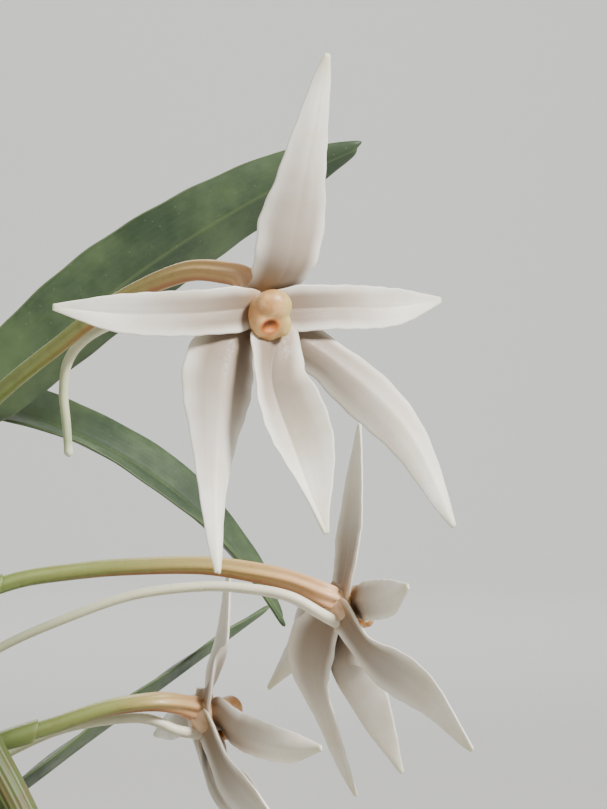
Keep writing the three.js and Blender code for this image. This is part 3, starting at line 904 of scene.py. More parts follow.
@dataclass(frozen=True)
class Palette:
    """Every material of the plant and its pot, made once."""

    clay: bpy.types.Material
    bark: bpy.types.Material
    sheath: bpy.types.Material
    leaf: bpy.types.Material
    leaf_back: bpy.types.Material
    root: bpy.types.Material
    tepal: bpy.types.Material
    tepal_back: bpy.types.Material
    column: bpy.types.Material
    stalk: bpy.types.Material
    spur: bpy.types.Material

    @classmethod
    def mixed(cls) -> "Palette":
        """Makes all the materials."""
        nerve = paint(226, 219, 200)
        return cls(
            clay=ClayFinish("fired_clay", paint(186, 108, 70), paint(150, 82, 52), paint(214, 190, 168),
                            paint(104, 66, 44)).make(),
            bark=BarkFinish("bark_chips", paint(124, 76, 46), paint(58, 36, 24),
                            paint(158, 122, 88)).make(),
            sheath=SheathFinish("leaf_sheath", paint(96, 112, 62), paint(112, 82, 58), paint(166, 140, 98),
                                paint(98, 74, 48)).make(),
            leaf=LeafFinish("leaf_upper", paint(44, 60, 40), paint(74, 92, 60), paint(98, 112, 70),
                            0.5).make(),
            leaf_back=LeafFinish("leaf_under", paint(54, 68, 38), paint(82, 96, 54), paint(108, 120, 74),
                                 0.6).make(),
            root=RootFinish("root_skin", paint(196, 194, 180), paint(142, 150, 116), paint(128, 112, 84),
                            paint(122, 150, 66)).make(),
            # Each tepal finish's throat colour is painted shade, and its foot colour is partly painted shade.
            tepal=TepalFinish("tepal_front", paint(244, 242, 233), paint(236, 229, 213),
                              paint(142, 124, 106), paint(170, 136, 96), paint(222, 222, 192), nerve).make(),
            tepal_back=TepalFinish("tepal_back", paint(246, 242, 234), paint(238, 230, 214),
                                   paint(226, 216, 198), paint(214, 188, 142), paint(206, 210, 168),
                                   nerve).make(),
            # The column finish's last colour is painted shade in the stigma under the hood.
            column=ColumnFinish("column_flesh", paint(206, 166, 112), paint(184, 134, 82),
                                paint(188, 182, 114), paint(184, 108, 44), paint(100, 50, 18)).make(),
            # The stripe colours of the stalk and spur finishes are partly painted shade on their undersides.
            stalk=StalkFinish("flower_stalk", ((0.0, paint(96, 118, 62)), (0.16, paint(116, 134, 72)),
                                               (0.38, paint(140, 148, 84)), (0.6, paint(196, 164, 108)),
                                               (0.78, paint(220, 176, 132)), (1.0, paint(232, 200, 166))),
                              paint(196, 172, 132), 6, paint(168, 108, 74), 0.75).make(),
            spur=StalkFinish("spur", ((0.0, paint(236, 226, 206)), (0.3, paint(226, 221, 203)),
                                      (0.65, paint(206, 208, 176)), (0.95, paint(166, 178, 140)),
                                      (1.0, paint(222, 224, 204))), paint(222, 218, 196), 3,
                             paint(214, 196, 168), 0.3).make(),
        )


@dataclass
class ClayPot:
    """The clay pot: a tapered wall under a thicker rim band, open above and drained below."""

    palette: Palette
    height: float = 85.0
    rim_radius: float = 50.0
    base_radius: float = 34.0
    wall: float = 5.0
    floor: float = 7.0
    band_height: float = 19.0
    band_step: float = 2.5
    edge: float = 1.2
    drain_radius: float = 4.0
    drain_circle: float = 17.0
    drains: int = 3
    sides: int = 128

    def inner_radius(self, level: float) -> float:
        """The radius of the inside at a height."""
        foot, top = self.base_radius - self.wall, self.rim_radius - self.wall
        return foot + (top - foot) * level / self.height

    def outside(self, level: float) -> float:
        """The radius of the outside at a height, with the faint rings left by turning."""
        band_foot = self.height - self.band_height
        start = self.rim_radius - self.band_step - self.edge
        if level < band_foot:
            radius = self.base_radius + (start - self.base_radius) * level / band_foot
            return radius - 0.12 - 0.1 * math.sin(level * 2.1) - 0.05 * math.sin(level * 5.3)
        share = (level - band_foot) / self.band_height
        return self.rim_radius - self.edge + self.edge * share - 0.1 - 0.06 * math.sin(level * 2.6)

    def profile(self) -> list[tuple[float, float]]:
        """The pot's outline as (radius, height): up the outside, over the rim, down the inside."""
        band_foot = self.height - self.band_height
        points = [(self.outside(0) - 1.6, 0.0), (self.outside(0) - 0.5, 0.35), (self.outside(1.2), 1.3)]
        points += [(self.outside(level), level) for level in range(3, int(band_foot), 2)]
        below, above = self.outside(band_foot - 0.6), self.outside(band_foot + 1)
        points += [(below, band_foot - 0.6), (below + 0.5, band_foot),
                   (above - 0.5, band_foot + 0.35), (above, band_foot + 1)]
        top = self.height
        points += [(self.outside(level), level) for level in range(int(band_foot) + 3, int(top) - 2, 2)]
        outer, inner = self.outside(top), self.inner_radius(top)
        points += [(self.outside(top - 1.6), top - 1.6), (outer - 0.45, top - 0.5),
                   (outer - 1.5, top - 0.08), ((outer + inner) / 2, top), (inner + 1.3, top - 0.1),
                   (inner + 0.4, top - 0.6), (self.inner_radius(top - 2), top - 2)]
        points += [(self.inner_radius(level) + 0.06 * math.sin(level * 1.9), level)
                   for level in range(int(top) - 5, int(self.floor) + 3, -4)]
        corner = self.inner_radius(self.floor)
        return points + [(corner - 0.6, self.floor + 0.8), (corner - 3, self.floor)]

    def build(self) -> bpy.types.Object:
        """Turns the pot from a disc, face by face, drills its drains and wears it.

        Returns:
            The pot.
        """
        profile = self.profile()
        radius, level = profile[0][0], 0.1
        deselect()
        bpy.ops.mesh.primitive_cylinder_add(
            vertices=self.sides, radius=radius * MM, depth=level * MM, location=(0, 0, level / 2 * MM))
        pot = bpy.context.active_object
        pot.name = "clay_pot"
        with editing(pot) as mesh:
            for face in mesh.faces:
                face.select = face.normal.z > 0.9
            bmesh.update_edit_mesh(pot.data)
            for new_radius, new_level in profile[1:]:
                bpy.ops.mesh.extrude_region_move(
                    TRANSFORM_OT_translate={"value": (0, 0, (new_level - level) * MM)})
                grown = new_radius / radius
                bpy.ops.transform.resize(value=(grown, grown, 1), center_override=(0, 0, new_level * MM))
                radius, level = new_radius, new_level
            bpy.ops.mesh.inset(thickness=6 * MM)
            bpy.ops.mesh.inset(thickness=8 * MM)
            bpy.ops.mesh.select_all(action="SELECT")
            bpy.ops.mesh.normals_make_consistent(inside=False)
        self.drill(pot)
        self.wear(pot)
        settle(pot)
        bpy.ops.object.shade_smooth_by_angle(angle=math.radians(50))
        return present(pot, Slot.CLAY, [self.palette.clay], ["pot"])

    def drill(self, pot: bpy.types.Object) -> None:
        """Cuts the drain holes, with soft edges."""
        for i in range(self.drains):
            turn = i / self.drains * math.tau
            away = self.drain_circle * MM
            deselect()
            bpy.ops.mesh.primitive_cylinder_add(
                vertices=32, radius=self.drain_radius * MM, depth=3 * self.floor * MM,
                location=(away * math.cos(turn), away * math.sin(turn), 0))
            drill = bpy.context.active_object
            shape(pot, "BOOLEAN", object=drill, operation="DIFFERENCE", solver="EXACT")
            bpy.data.objects.remove(drill)

    def wear(self, pot: bpy.types.Object) -> None:
        """Roughens the turned faces a little, and the edge of the rim more, always inwards."""
        for vertex in pot.data.vertices:
            radius = math.hypot(vertex.co.x, vertex.co.y)
            if radius < self.base_radius * 0.8 * MM:
                continue
            rim = ramp(self.height - 2.5, self.height, vertex.co.z / MM)
            rough = noise.fractal(vertex.co * 60, 0.6, 2.0, 4)
            chip = max(0.0, noise.noise(vertex.co * 130 + Vector((3, 1, 7))) - 0.38) * 2.4 * rim
            depth = (0.10 * (rough + 1) * (1 - rim) + chip) * MM
            vertex.co.x *= 1 - depth / radius
            vertex.co.y *= 1 - depth / radius
            vertex.co.z -= chip * 0.5 * MM


@dataclass
class BarkBed:
    """Chips of bark that fill the pot, heaped round the stems and roots."""

    palette: Palette
    pot: ClayPot
    level: float = 76.0
    chips: int = 44
    chip_length: float = 15.0
    chip_width: float = 10.0
    chip_thickness: float = 4.5
    moulds: int = 7
    fillers: int = 62
    crumbs: int = 70

    def mould(self, number: int) -> bpy.types.Object:
        """Models one chip of unit size: a slab with split, layered sides."""
        draw = random.Random(number)
        deselect()
        bpy.ops.mesh.primitive_cube_add(size=1, location=(0, 0, 0))
        chip = bpy.context.active_object
        chip.name = f"chip_mould_{number}"
        with editing(chip) as mesh:
            for _ in range(2):
                towards = draw.choice((-1, 1)), draw.choice((-1, 1)) * draw.uniform(0.5, 1.4)
                away = Vector((*towards, draw.uniform(-0.3, 0.3))).normalized()
                bpy.ops.mesh.select_all(action="SELECT")
                bpy.ops.mesh.bisect(plane_co=away * draw.uniform(0.42, 0.56), plane_no=away, use_fill=True,
                                    clear_outer=True)
            bpy.ops.mesh.select_all(action="SELECT")
            bpy.ops.mesh.quads_convert_to_tris()
            bpy.ops.mesh.tris_convert_to_quads()
            bpy.ops.mesh.subdivide(number_cuts=3, fractal=0.12, seed=number)
        mark(chip, "height", lambda point: point.z)
        for vertex in chip.data.vertices:
            layer = math.sin(vertex.co.z * 26 + draw.random() * 0.5)
            out = Vector((vertex.co.x, vertex.co.y, 0))
            vertex.co += out * 0.05 * layer
            vertex.co.z *= 1 + 0.25 * noise.noise(vertex.co * 2.4 + Vector((number, 0, 0)))
        with editing(chip):
            bpy.ops.mesh.select_all(action="SELECT")
            bpy.ops.uv.cube_project(cube_size=1.0)
        return chip

    def lay(
        self, mould: bpy.types.Object, size: Point, turn: Matrix, place: Point, tone: float
    ) -> bpy.types.Object:
        """Copies a chip to its place, with its own mesh.

        Args:
            mould: The chip to copy.
            size: Length, width and thickness in millimetres.
            turn: How it lies.
            place: Its middle in millimetres.
            tone: How light it is, 0 to 1.

        Returns:
            The copy.
        """
        take(mould)
        bpy.ops.object.duplicate(linked=False)
        chip = bpy.context.active_object
        chip.data.transform(Matrix.Translation(Vector(place) * MM) @ turn.to_4x4()
                            @ Matrix.Diagonal((*size, 1)) @ Matrix.Scale(MM, 4))
        mark(chip, "tone", tone)
        return chip

    def build(self) -> bpy.types.Object:
        """Heaps the chips and joins them over a dark bed.

        Returns:
            The filling.
        """
        moulds = [self.mould(i) for i in range(self.moulds)]
        draw = random.Random(5)
        laid = [self.bed()]
        for i, (size, turn, place) in enumerate(self.solid_chips()):
            laid.append(self.lay(moulds[i % self.moulds], size, turn, place, draw.random()))
        reach = self.pot.inner_radius(self.level)
        for i in range(self.fillers):
            size = tuple(part * draw.uniform(0.5, 0.8)
                         for part in (self.chip_length, self.chip_width, self.chip_thickness))
            away = (reach - 6.5) * math.sqrt((i + 0.5) / self.fillers)
            angle = i * GOLDEN_ANGLE + 1.1
            spin = Matrix.Rotation(draw.uniform(0, math.tau), 3, "Z")
            turn = spin @ Matrix.Rotation(draw.uniform(-0.7, 0.7), 3, "X")
            height = self.level - 1.5 + draw.uniform(-1.2, 1.6)
            place = (away * math.cos(angle), away * math.sin(angle), height)
            laid.append(self.lay(moulds[(i * 3) % self.moulds], size, turn, place, draw.random()))
        for i in range(self.crumbs):
            size = tuple(draw.uniform(1.4, 4.2) for _ in range(3))
            away = (reach - 3) * math.sqrt(draw.random())
            angle = draw.uniform(0, math.tau)
            spin = Matrix.Rotation(draw.uniform(0, math.tau), 3, "Z")
            turn = spin @ Matrix.Rotation(draw.uniform(-1, 1), 3, "Y")
            height = self.level + draw.uniform(-0.5, 1.8)
            place = (away * math.cos(angle), away * math.sin(angle), height)
            laid.append(self.lay(moulds[0], size, turn, place, draw.random()))
        for mould in moulds:
            bpy.data.objects.remove(mould)
        bark = join("bark_chips", laid)
        take(bark)
        bpy.ops.object.shade_smooth_by_angle(angle=math.radians(38))
        return present(bark, Slot.BARK, [self.palette.bark], ["bark"])

    def bed(self) -> bpy.types.Object:
        """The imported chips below, which show only between the upper ones."""
        deselect()
        top, foot = self.level - 2.5, self.pot.floor + CLEARANCE
        bpy.ops.mesh.primitive_cone_add(
            vertices=64, radius1=(self.pot.inner_radius(foot) - 0.5) * MM,
            radius2=(self.pot.inner_radius(top) - 0.5) * MM, depth=(top - foot) * MM,
            location=(0, 0, (top + foot) / 2 * MM))
        bed = bpy.context.active_object
        settle(bed)
        with editing(bed) as mesh:
            for face in mesh.faces:
                face.select = face.normal.z > 0.9
            bmesh.update_edit_mesh(bed.data)
            for _ in range(8):
                bpy.ops.mesh.inset(thickness=4.5 * MM)
            bpy.ops.mesh.select_all(action="SELECT")
            bpy.ops.uv.cube_project(cube_size=0.01)
        for vertex in bed.data.vertices:
            if vertex.co.z > (top - 1) * MM:
                vertex.co.z += (noise.noise(vertex.co * 240) * 1.2 - 0.5) * MM
        mark(bed, "tone", 0.15)
        return bed

    def solid_chips(self) -> Iterator[tuple[Point, Matrix, Point]]:
        """The upper chips where the solid has them, by the same seeded rule."""
        state = 20

        def draw() -> float:
            """The next number of the seeded row, 0 to 1."""
            nonlocal state
            state = (state * 1664525 + 1013904223) % 4294967296
            return state / 4294967296

        reach = self.pot.inner_radius(self.level) - self.chip_length / 2 - 1.5
        for i in range(self.chips):
            away = reach * math.sqrt((i + 0.5) / self.chips)
            angle = i * GOLDEN_ANGLE
            size = (self.chip_length * (0.65 + 0.35 * draw()), self.chip_width * (0.6 + 0.4 * draw()),
                    self.chip_thickness * (0.7 + 0.3 * draw()))
            tilts = (draw() - 0.5) * 0.7, (draw() - 0.5) * 0.6, draw() * math.pi
            turn = (Matrix.Rotation(tilts[2], 3, "Z") @ Matrix.Rotation(tilts[1], 3, "Y")
                    @ Matrix.Rotation(tilts[0], 3, "X"))
            height = self.level + 0.4 + 1.8 * draw()
            yield size, turn, (away * math.cos(angle), away * math.sin(angle), height)


@dataclass(frozen=True)
class Leaf:
    """One strap leaf: where it leaves the stem, and how it rises, arches and rolls."""

    height: float
    azimuth: float
    rise: float
    arch: float
    roll: float
    length: float
    width: float

    def heading(self) -> Vector:
        """The level direction that the leaf grows in."""
        angle = math.radians(self.azimuth)
        return Vector((math.cos(angle), math.sin(angle), 0))

    def midrib(self, stem: Route) -> Route:
        """The leaf's midrib, from inside its sheath to its tip.

        Args:
            stem: The route of the stem that carries it.

        Returns:
            The route.
        """
        share = stem.share_at_height(self.height * MM)
        node, along = stem.point(share), stem.tangent(share)
        lift = LEAF_THICKNESS / 2 + LEAF_BASE_HALF_WIDTH * math.sin(math.radians(LEAF_FOLD))
        twisted = LEAF_BASE_HALF_WIDTH * abs(math.sin(math.radians(self.roll)))
        back = (0.55 * lift + 0.3 * twisted) * abs(math.sin(math.radians(self.rise)))
        heading = self.heading()
        outward = (heading - along * heading.dot(along)).normalized()
        start = node + outward * (SHEATH_RADIUS + 1.2 * CLEARANCE + back) * MM
        points = [node + outward * (STEM_RADIUS - 0.4) * MM - along * 1.6 * MM, start]
        steps = 8
        for i in range(steps):
            level = math.radians(self.rise - self.arch * (i + 0.5) / steps)
            ahead = heading * math.cos(level) + UP * math.sin(level)
            points.append(points[-1] + ahead * (self.length / steps * MM))
        return Route(points)


LEAF_BLADE = Blade(outline=LEAF_OUTLINE, thickness=1.0, margin=0.32, fold=LEAF_FOLD, crease=0.16,
                   groove=0.22, wave=0.25, waves=2.5, columns=12, rows=34, clasp=62, lobes=True)


@dataclass
class Stem:
    """One stem, wrapped in the sheaths of its leaves."""

    name: str
    palette: Palette
    route: Sequence[Point]
    leaves: Sequence[Leaf]

    SHEATH_SIDES = 28
    SHEATH_RINGS = 9

    def build(self) -> None:
        """Builds the stem, its sheaths and its leaves."""
        route = Route([Vector(point) * MM for point in self.route])
        core = grow(f"{self.name}_core", rings_along(route, even(70, self.core_radius)), 16)
        mark(core, "age", 0.2)
        shells = [core]
        foot = 0.02
        for i, leaf in enumerate(self.leaves):
            top = route.share_at_height(leaf.height * MM)
            shells.append(self.sheath(route, foot, top, leaf, i))
            foot = max(0.02, top - 0.02)
        stem = join(self.name + "_sheathed", shells)
        present(stem, Slot.STEM, [self.palette.sheath], [self.name])
        for i, leaf in enumerate(self.leaves):
            node = f"{self.name}_leaf_{i + 1}"
            midrib = leaf.midrib(route)
            blade = LEAF_BLADE.lay(node + "_blade", midrib, UP, 40 + i, leaf.width / 2, leaf.roll)
            present(blade, Slot.LEAF, [self.palette.leaf, self.palette.leaf_back], [node])

    def core_radius(self, t: float) -> float:
        """The bare stem's radius in metres, drawn in towards its growing tip."""
        return (STEM_RADIUS - 0.25) * (1 - 0.45 * ramp(0.9, 1.0, t)) * MM

    def sheath(self, route: Route, foot: float, top: float, leaf: Leaf, number: int) -> bpy.types.Object:
        """One sheath: a thin tube that flares to a slanted mouth on its leaf's side.

        Args:
            route: The stem's route.
            foot: Where it starts, as a share of the route.
            top: Where its leaf stands off.
            leaf: That leaf.
            number: Its place on the stem, from below.

        Returns:
            The sheath.
        """
        def radius(t: float) -> float:
            """The sheath's radius in metres, widening to its mouth."""
            share = (t - foot) / (top - foot)
            return (STEM_RADIUS + 0.08 + 0.42 * share ** 2) * MM

        rings = rings_along(route, even(self.SHEATH_RINGS, radius, foot, top))
        shell = grow(f"{self.name}_sheath_{number}", rings, self.SHEATH_SIDES, closed=False,
                     relief=lambda t, turn: 0.018 * math.sin(turn * 11))
        heading = leaf.heading()
        for vertex in shell.data.vertices:
            ring = rings[vertex.index // self.SHEATH_SIDES]
            share = (ring.share - foot) / (top - foot)
            side = (vertex.co - ring.middle).normalized().dot(heading)
            slant = (0.9 * side - 0.5) * ramp(0.5, 1.0, share)
            vertex.co += ring.along * (slant * MM)
        shape(shell, "SOLIDIFY", thickness=0.22 * MM, offset=-1.0)
        refine(shell, 1)
        mark(shell, "age", max(0.0, 1 - number * 0.17) * 0.9)
        return shell


@dataclass
class Root:
    """One aerial root, with its spongy skin and growing tip."""

    name: str
    palette: Palette
    points: Sequence[Point]
    seed: int

    def build(self) -> bpy.types.Object:
        """Builds the root."""
        route = Route([Vector(point) * MM for point in self.points])

        def radius(t: float) -> float:
            """The root's radius in metres, swelling and thinning, closed at its tip."""
            swell = 0.06 * math.sin(t * 31 + self.seed) + 0.04 * math.sin(t * 67 + 2 * self.seed)
            tip = math.sqrt(max(0.02, 1 - ramp(0.965, 1.0, t)))
            return ROOT_RADIUS * (1 - 0.25 * t ** 3) * (0.94 + swell * 0.6) * tip * MM

        def lumps(t: float, turn: float) -> float:
            """The uneven skin, as a share of the radius."""
            return 0.06 * noise.noise(Vector((math.cos(turn), math.sin(turn), t * 22 + self.seed)))

        root = grow(f"{self.name}_skin", rings_along(route, even(84, radius)), 18, relief=lumps)
        refine(root, 1)
        return present(root, Slot.ROOT, [self.palette.root], [self.name])


DORSAL_BLADE = Blade(outline=DORSAL_OUTLINE, thickness=0.66, margin=0.28, fold=-11, crease=0.35, groove=0.1,
                     wave=0.12, waves=1.4, columns=18, rows=44, flare=0.3)
BROAD_BLADE = Blade(outline=BROAD_SEPAL, thickness=0.66, margin=0.28, fold=-22, crease=0.22, groove=-0.06,
                    wave=0.12, waves=1.2, columns=18, rows=44, flare=2.0)
SLENDER_BLADE = Blade(outline=SLENDER_SEPAL, thickness=0.66, margin=0.28, fold=-22, crease=0.22,
                      groove=-0.06, wave=0.12, waves=1.2, columns=18, rows=44, flare=1.7)
PETAL_BLADE = Blade(outline=PETAL_OUTLINE, thickness=0.6, margin=0.28, fold=14, crease=0.3, groove=0.08,
                    wave=0.12, waves=1.6, columns=18, rows=44, flare=0.6)
LIP_BLADE = Blade(outline=LIP_OUTLINE, thickness=0.7, margin=0.28, fold=40, crease=0.12, groove=0.14,
                  wave=0.16, waves=1.7, columns=20, rows=46, flare=1.6, clasp=-4, clasp_end=0.34)


@dataclass(frozen=True)
class Tepal:
    """One sepal, petal or lip: its form, its turn about its midrib, and the midrib's points.

    Attributes:
        blade: How it is formed.
        roll: Turn about the midrib, in degrees.
        midrib: Points from the column outwards, as (right, forward, up) in the flower's frame.
    """

    blade: Blade
    roll: float
    midrib: Sequence[Point]


@dataclass
class Flower:
    """One flower. Its own frame has X to its right, Y behind it and Z up.

    Attributes:
        middle: The column's foot, in millimetres.
        facing: The way that it faces, in degrees from straight ahead towards the right.
        tepals: Its sepals, petals and lip.
        stalk: Points of the stalk, from the stem.
        spur: Points of the spur, from behind the lip.
        seed: Sets where its small waves and dents lie.
    """

    name: str
    palette: Palette
    middle: Point
    facing: float
    tepals: dict[str, Tepal]
    stalk: Sequence[Point]
    spur: Sequence[Point]
    seed: int

    # Where each tepal's flesh grows out behind the column, as (right, forward, up)
    ROOTS = {
        "dorsal_sepal": (0.1, -2.0, 0.6), "left_sepal": (-0.4, -2.2, -0.6),
        "right_sepal": (0.4, -2.2, -0.6), "left_petal": (-0.4, -1.5, 0.1),
        "right_petal": (0.4, -1.5, 0.1), "lip": (0, -1.4, -1.7),
    }
    # How far the stalk runs on into its stem, and the bract's own form
    STALK_INSIDE = 2.5
    BRACT_SIDES = 24
    BRACT_RINGS = 9

    def frame(self) -> Matrix:
        """The flower's place and turn, in metres."""
        turn = Matrix.Rotation(math.radians(self.facing), 4, "Z")
        return Matrix.Translation(Vector(self.middle) * MM) @ turn

    def at(self, point: Point) -> Vector:
        """The place in metres of a point given as (right, forward, up) in the flower's frame."""
        right, forward, up = point
        return self.frame() @ (Vector((right, -forward, up)) * MM)

    def build(self) -> None:
        """Builds the whole flower."""
        facing = self.frame().to_3x3() @ FORWARD
        sides = [self.palette.tepal, self.palette.tepal_back]
        for i, (part, tepal) in enumerate(self.tepals.items()):
            node = f"{self.name}_{part}"
            route = Route([self.at(self.ROOTS[part]), *(self.at(point) for point in tepal.midrib)])
            lead = route.length_at(1 / len(tepal.midrib))
            piece = tepal.blade.lay(
                node + "_flesh", route, facing, self.seed + i, roll=tepal.roll, lead=lead)
            present(piece, Slot.TEPAL, sides, [node])
        self.build_spur()
        self.build_column()
        self.build_stalk()

    def build_spur(self) -> bpy.types.Object:
        """The long spur behind the lip, with a small knob at its end."""
        right, forward, up = self.tepals["lip"].midrib[0]
        route = Route([self.at((right, forward + 0.1, up - 0.3)), self.at((0, -1.9, -2.4)),
                       *(Vector(p) * MM for p in self.spur)])

        def radius(t: float) -> float:
            """The spur's radius in metres, from its mouth to the knob at its end."""
            mouth = 0.35 * ramp(0.06, 0.0, t)
            knob = 0.16 * math.exp(-((t - 0.985) / 0.01) ** 2)
            end = math.sqrt(max(0.03, 1 - ramp(0.99, 1.0, t)))
            return (SPUR_RADIUS * (1.08 - 0.42 * t) * (0.95 + mouth) + knob * 0.6) * end * MM

        spur = grow(f"{self.name}_spur", rings_along(route, even(96, radius)), 14,
                    relief=lambda t, turn: 0.05 * math.cos(2 * turn))
        refine(spur, 1)
        return present(spur, Slot.TEPAL, [self.palette.spur], [f"{self.name}_lip"])

    def build_column(self) -> bpy.types.Object:
        """The short column: shaft, hood with its anther cap, wings, and the hollow of the stigma."""
        shaft_route = Route([self.at((0, -1.9, 0.1)), self.at((0, 0, 0)), self.at((-0.1, 1.3, -0.4))])
        flesh = grow(f"{self.name}_column_flesh",
                     rings_along(shaft_route, even(9, lambda t: (1.4 + 0.4 * t) * MM)), 28)
        lumps = (
            ((-0.2, 0.55, -0.65), (2.2, 1.45, 2.5)),
            ((0.0, 1.25, 0.35), (2.0, 1.35, 1.65)),
            ((1.0, 1.2, -1.5), (1.0, 0.85, 1.3)),
            ((-1.25, 1.05, -1.5), (1.0, 0.85, 1.4)),
        )
        for place, radii in lumps:
            self.combine(flesh, self.bead(place, radii), "UNION")
        hollow = (-0.65, 2.3, -1.85)
        shape(flesh, "REMESH", mode="VOXEL", voxel_size=0.16 * MM)
        shape(flesh, "SMOOTH", factor=0.5, iterations=9)
        self.combine(flesh, self.bead(hollow, (1.05, 0.85, 0.8)), "DIFFERENCE")
        shape(flesh, "REMESH", mode="VOXEL", voxel_size=0.09 * MM)
        shape(flesh, "SMOOTH", factor=0.5, iterations=5)
        inverse = self.frame().inverted()

        def local(point: Vector) -> Vector:
            """A point of the mesh as (right, forward, up) in millimetres."""
            right, back, up = inverse @ point / MM
            return Vector((right, -back, up))

        def stigma(point: Vector) -> float:
            """How far a point lies in the stigma, with painted shade darkest under the hood and towards the
            left.
            """
            right, forward, up = local(point) - Vector(hollow)
            edge = ramp(1.3, 0.75, math.hypot(right / 1.05, up / 0.8)) * ramp(0.2, -0.4, forward)
            return edge * (0.5 + 0.5 * ramp(-0.6, 0.6, up - 0.5 * right))

        # The stigma attribute carries both the stigma's orange and its painted shade under the hood.
        mark(flesh, "stigma", stigma)
        mark(flesh, "right", lambda point: ramp(-0.2, 1.6, local(point).x))
        bpy.ops.object.shade_smooth()
        return present(flesh, Slot.COLUMN, [self.palette.column], [f"{self.name}_column"])

    def combine(self, piece: bpy.types.Object, other: bpy.types.Object, operation: str) -> None:
        """Joins a lump to a piece, or cuts it out, and removes the lump."""
        shape(piece, "BOOLEAN", object=other, operation=operation, solver="EXACT")
        bpy.data.objects.remove(other)

    def bead(self, place: Point, radii: Point) -> bpy.types.Object:
        """A rounded lump in the flower's frame.

        Args:
            place: Its middle, as (right, forward, up) in millimetres.
            radii: Its radii in millimetres, by the same axes.

        Returns:
            The lump.
        """
        deselect()
        bpy.ops.mesh.primitive_uv_sphere_add(segments=36, ring_count=24, radius=MM, location=(0, 0, 0))
        lump = bpy.context.active_object
        lump.data.transform(Matrix.Translation(self.at(place)) @ self.frame().to_3x3().to_4x4()
                            @ Matrix.Diagonal((*radii, 1)))
        return lump

    def build_stalk(self) -> None:
        """The stalk: a slim peduncle, and the ridged ovary that meets the flower."""
        points = [Vector(point) * MM for point in self.stalk]
        inside = points[0] + (points[0] - points[1]).normalized() * self.STALK_INSIDE * MM
        route = Route([inside, *points, self.at((0, -1.5, 0.1))])
        body = len(points) / (len(points) + 1)

        def ridges(t: float, turn: float) -> float:
            """The six twisted ridges, as a share of the radius."""
            return (0.03 + 0.09 * ramp(0.3, 0.8, t)) * (math.cos(6 * (turn + 1.6 * t)) - 0.4)

        stations = even(90, lambda t: eased(STALK_TABLE, min(1.0, t / body)) * PEDUNCLE_RADIUS * MM)
        self.present_green(grow(f"{self.name}_stalk_flesh", rings_along(route, stations), 36, relief=ridges))
        self.build_collar()
        self.build_bract(route, 0.4 / (len(points) + 1))

    def build_collar(self) -> None:
        """The swelling behind the flower where the tepals and the ovary meet."""
        def radius(t: float) -> float:
            """The collar's radius in metres, round at both ends."""
            return 2.0 * math.sqrt(max(0.02, 1 - (2 * t - 1) ** 2)) * MM

        route = Route([self.at((0, -3.6, -0.2)), self.at((0, -2.2, -0.4)), self.at((0, -0.8, -0.5))])
        rings = [replace(ring, share=0.97) for ring in rings_along(route, even(13, radius))]
        self.present_green(grow(f"{self.name}_collar", rings, 28))

    def build_bract(self, route: Route, foot: float) -> None:
        """The small bract that wraps the stalk where it leaves the stem.

        Args:
            route: The stalk's route.
            foot: Where the bract starts, as a share of the route's points.
        """
        tip = 4 * foot

        def radius(t: float) -> float:
            """The bract's radius in metres, widening from its foot."""
            return (1.04 + 0.16 * ramp(foot, tip, t)) * MM

        rings = rings_along(route, even(self.BRACT_RINGS, radius, foot, tip))
        bract = grow(f"{self.name}_bract", rings, self.BRACT_SIDES, closed=False)
        for vertex in bract.data.vertices:
            ring = rings[vertex.index // self.BRACT_SIDES]
            side = (vertex.co - ring.middle).normalized().dot(UP)
            vertex.co += ring.along * (0.7 * side * ramp(2 * foot, tip, ring.share) * MM)
        shape(bract, "SOLIDIFY", thickness=0.14 * MM, offset=0.0)
        self.present_green(bract)

    def present_green(self, piece: bpy.types.Object) -> None:
        """Smooths a piece of the stalk and dresses it in the stalk's finish."""
        refine(piece, 1)
        present(piece, Slot.STALK, [self.palette.stalk], [f"{self.name}_stalk"])


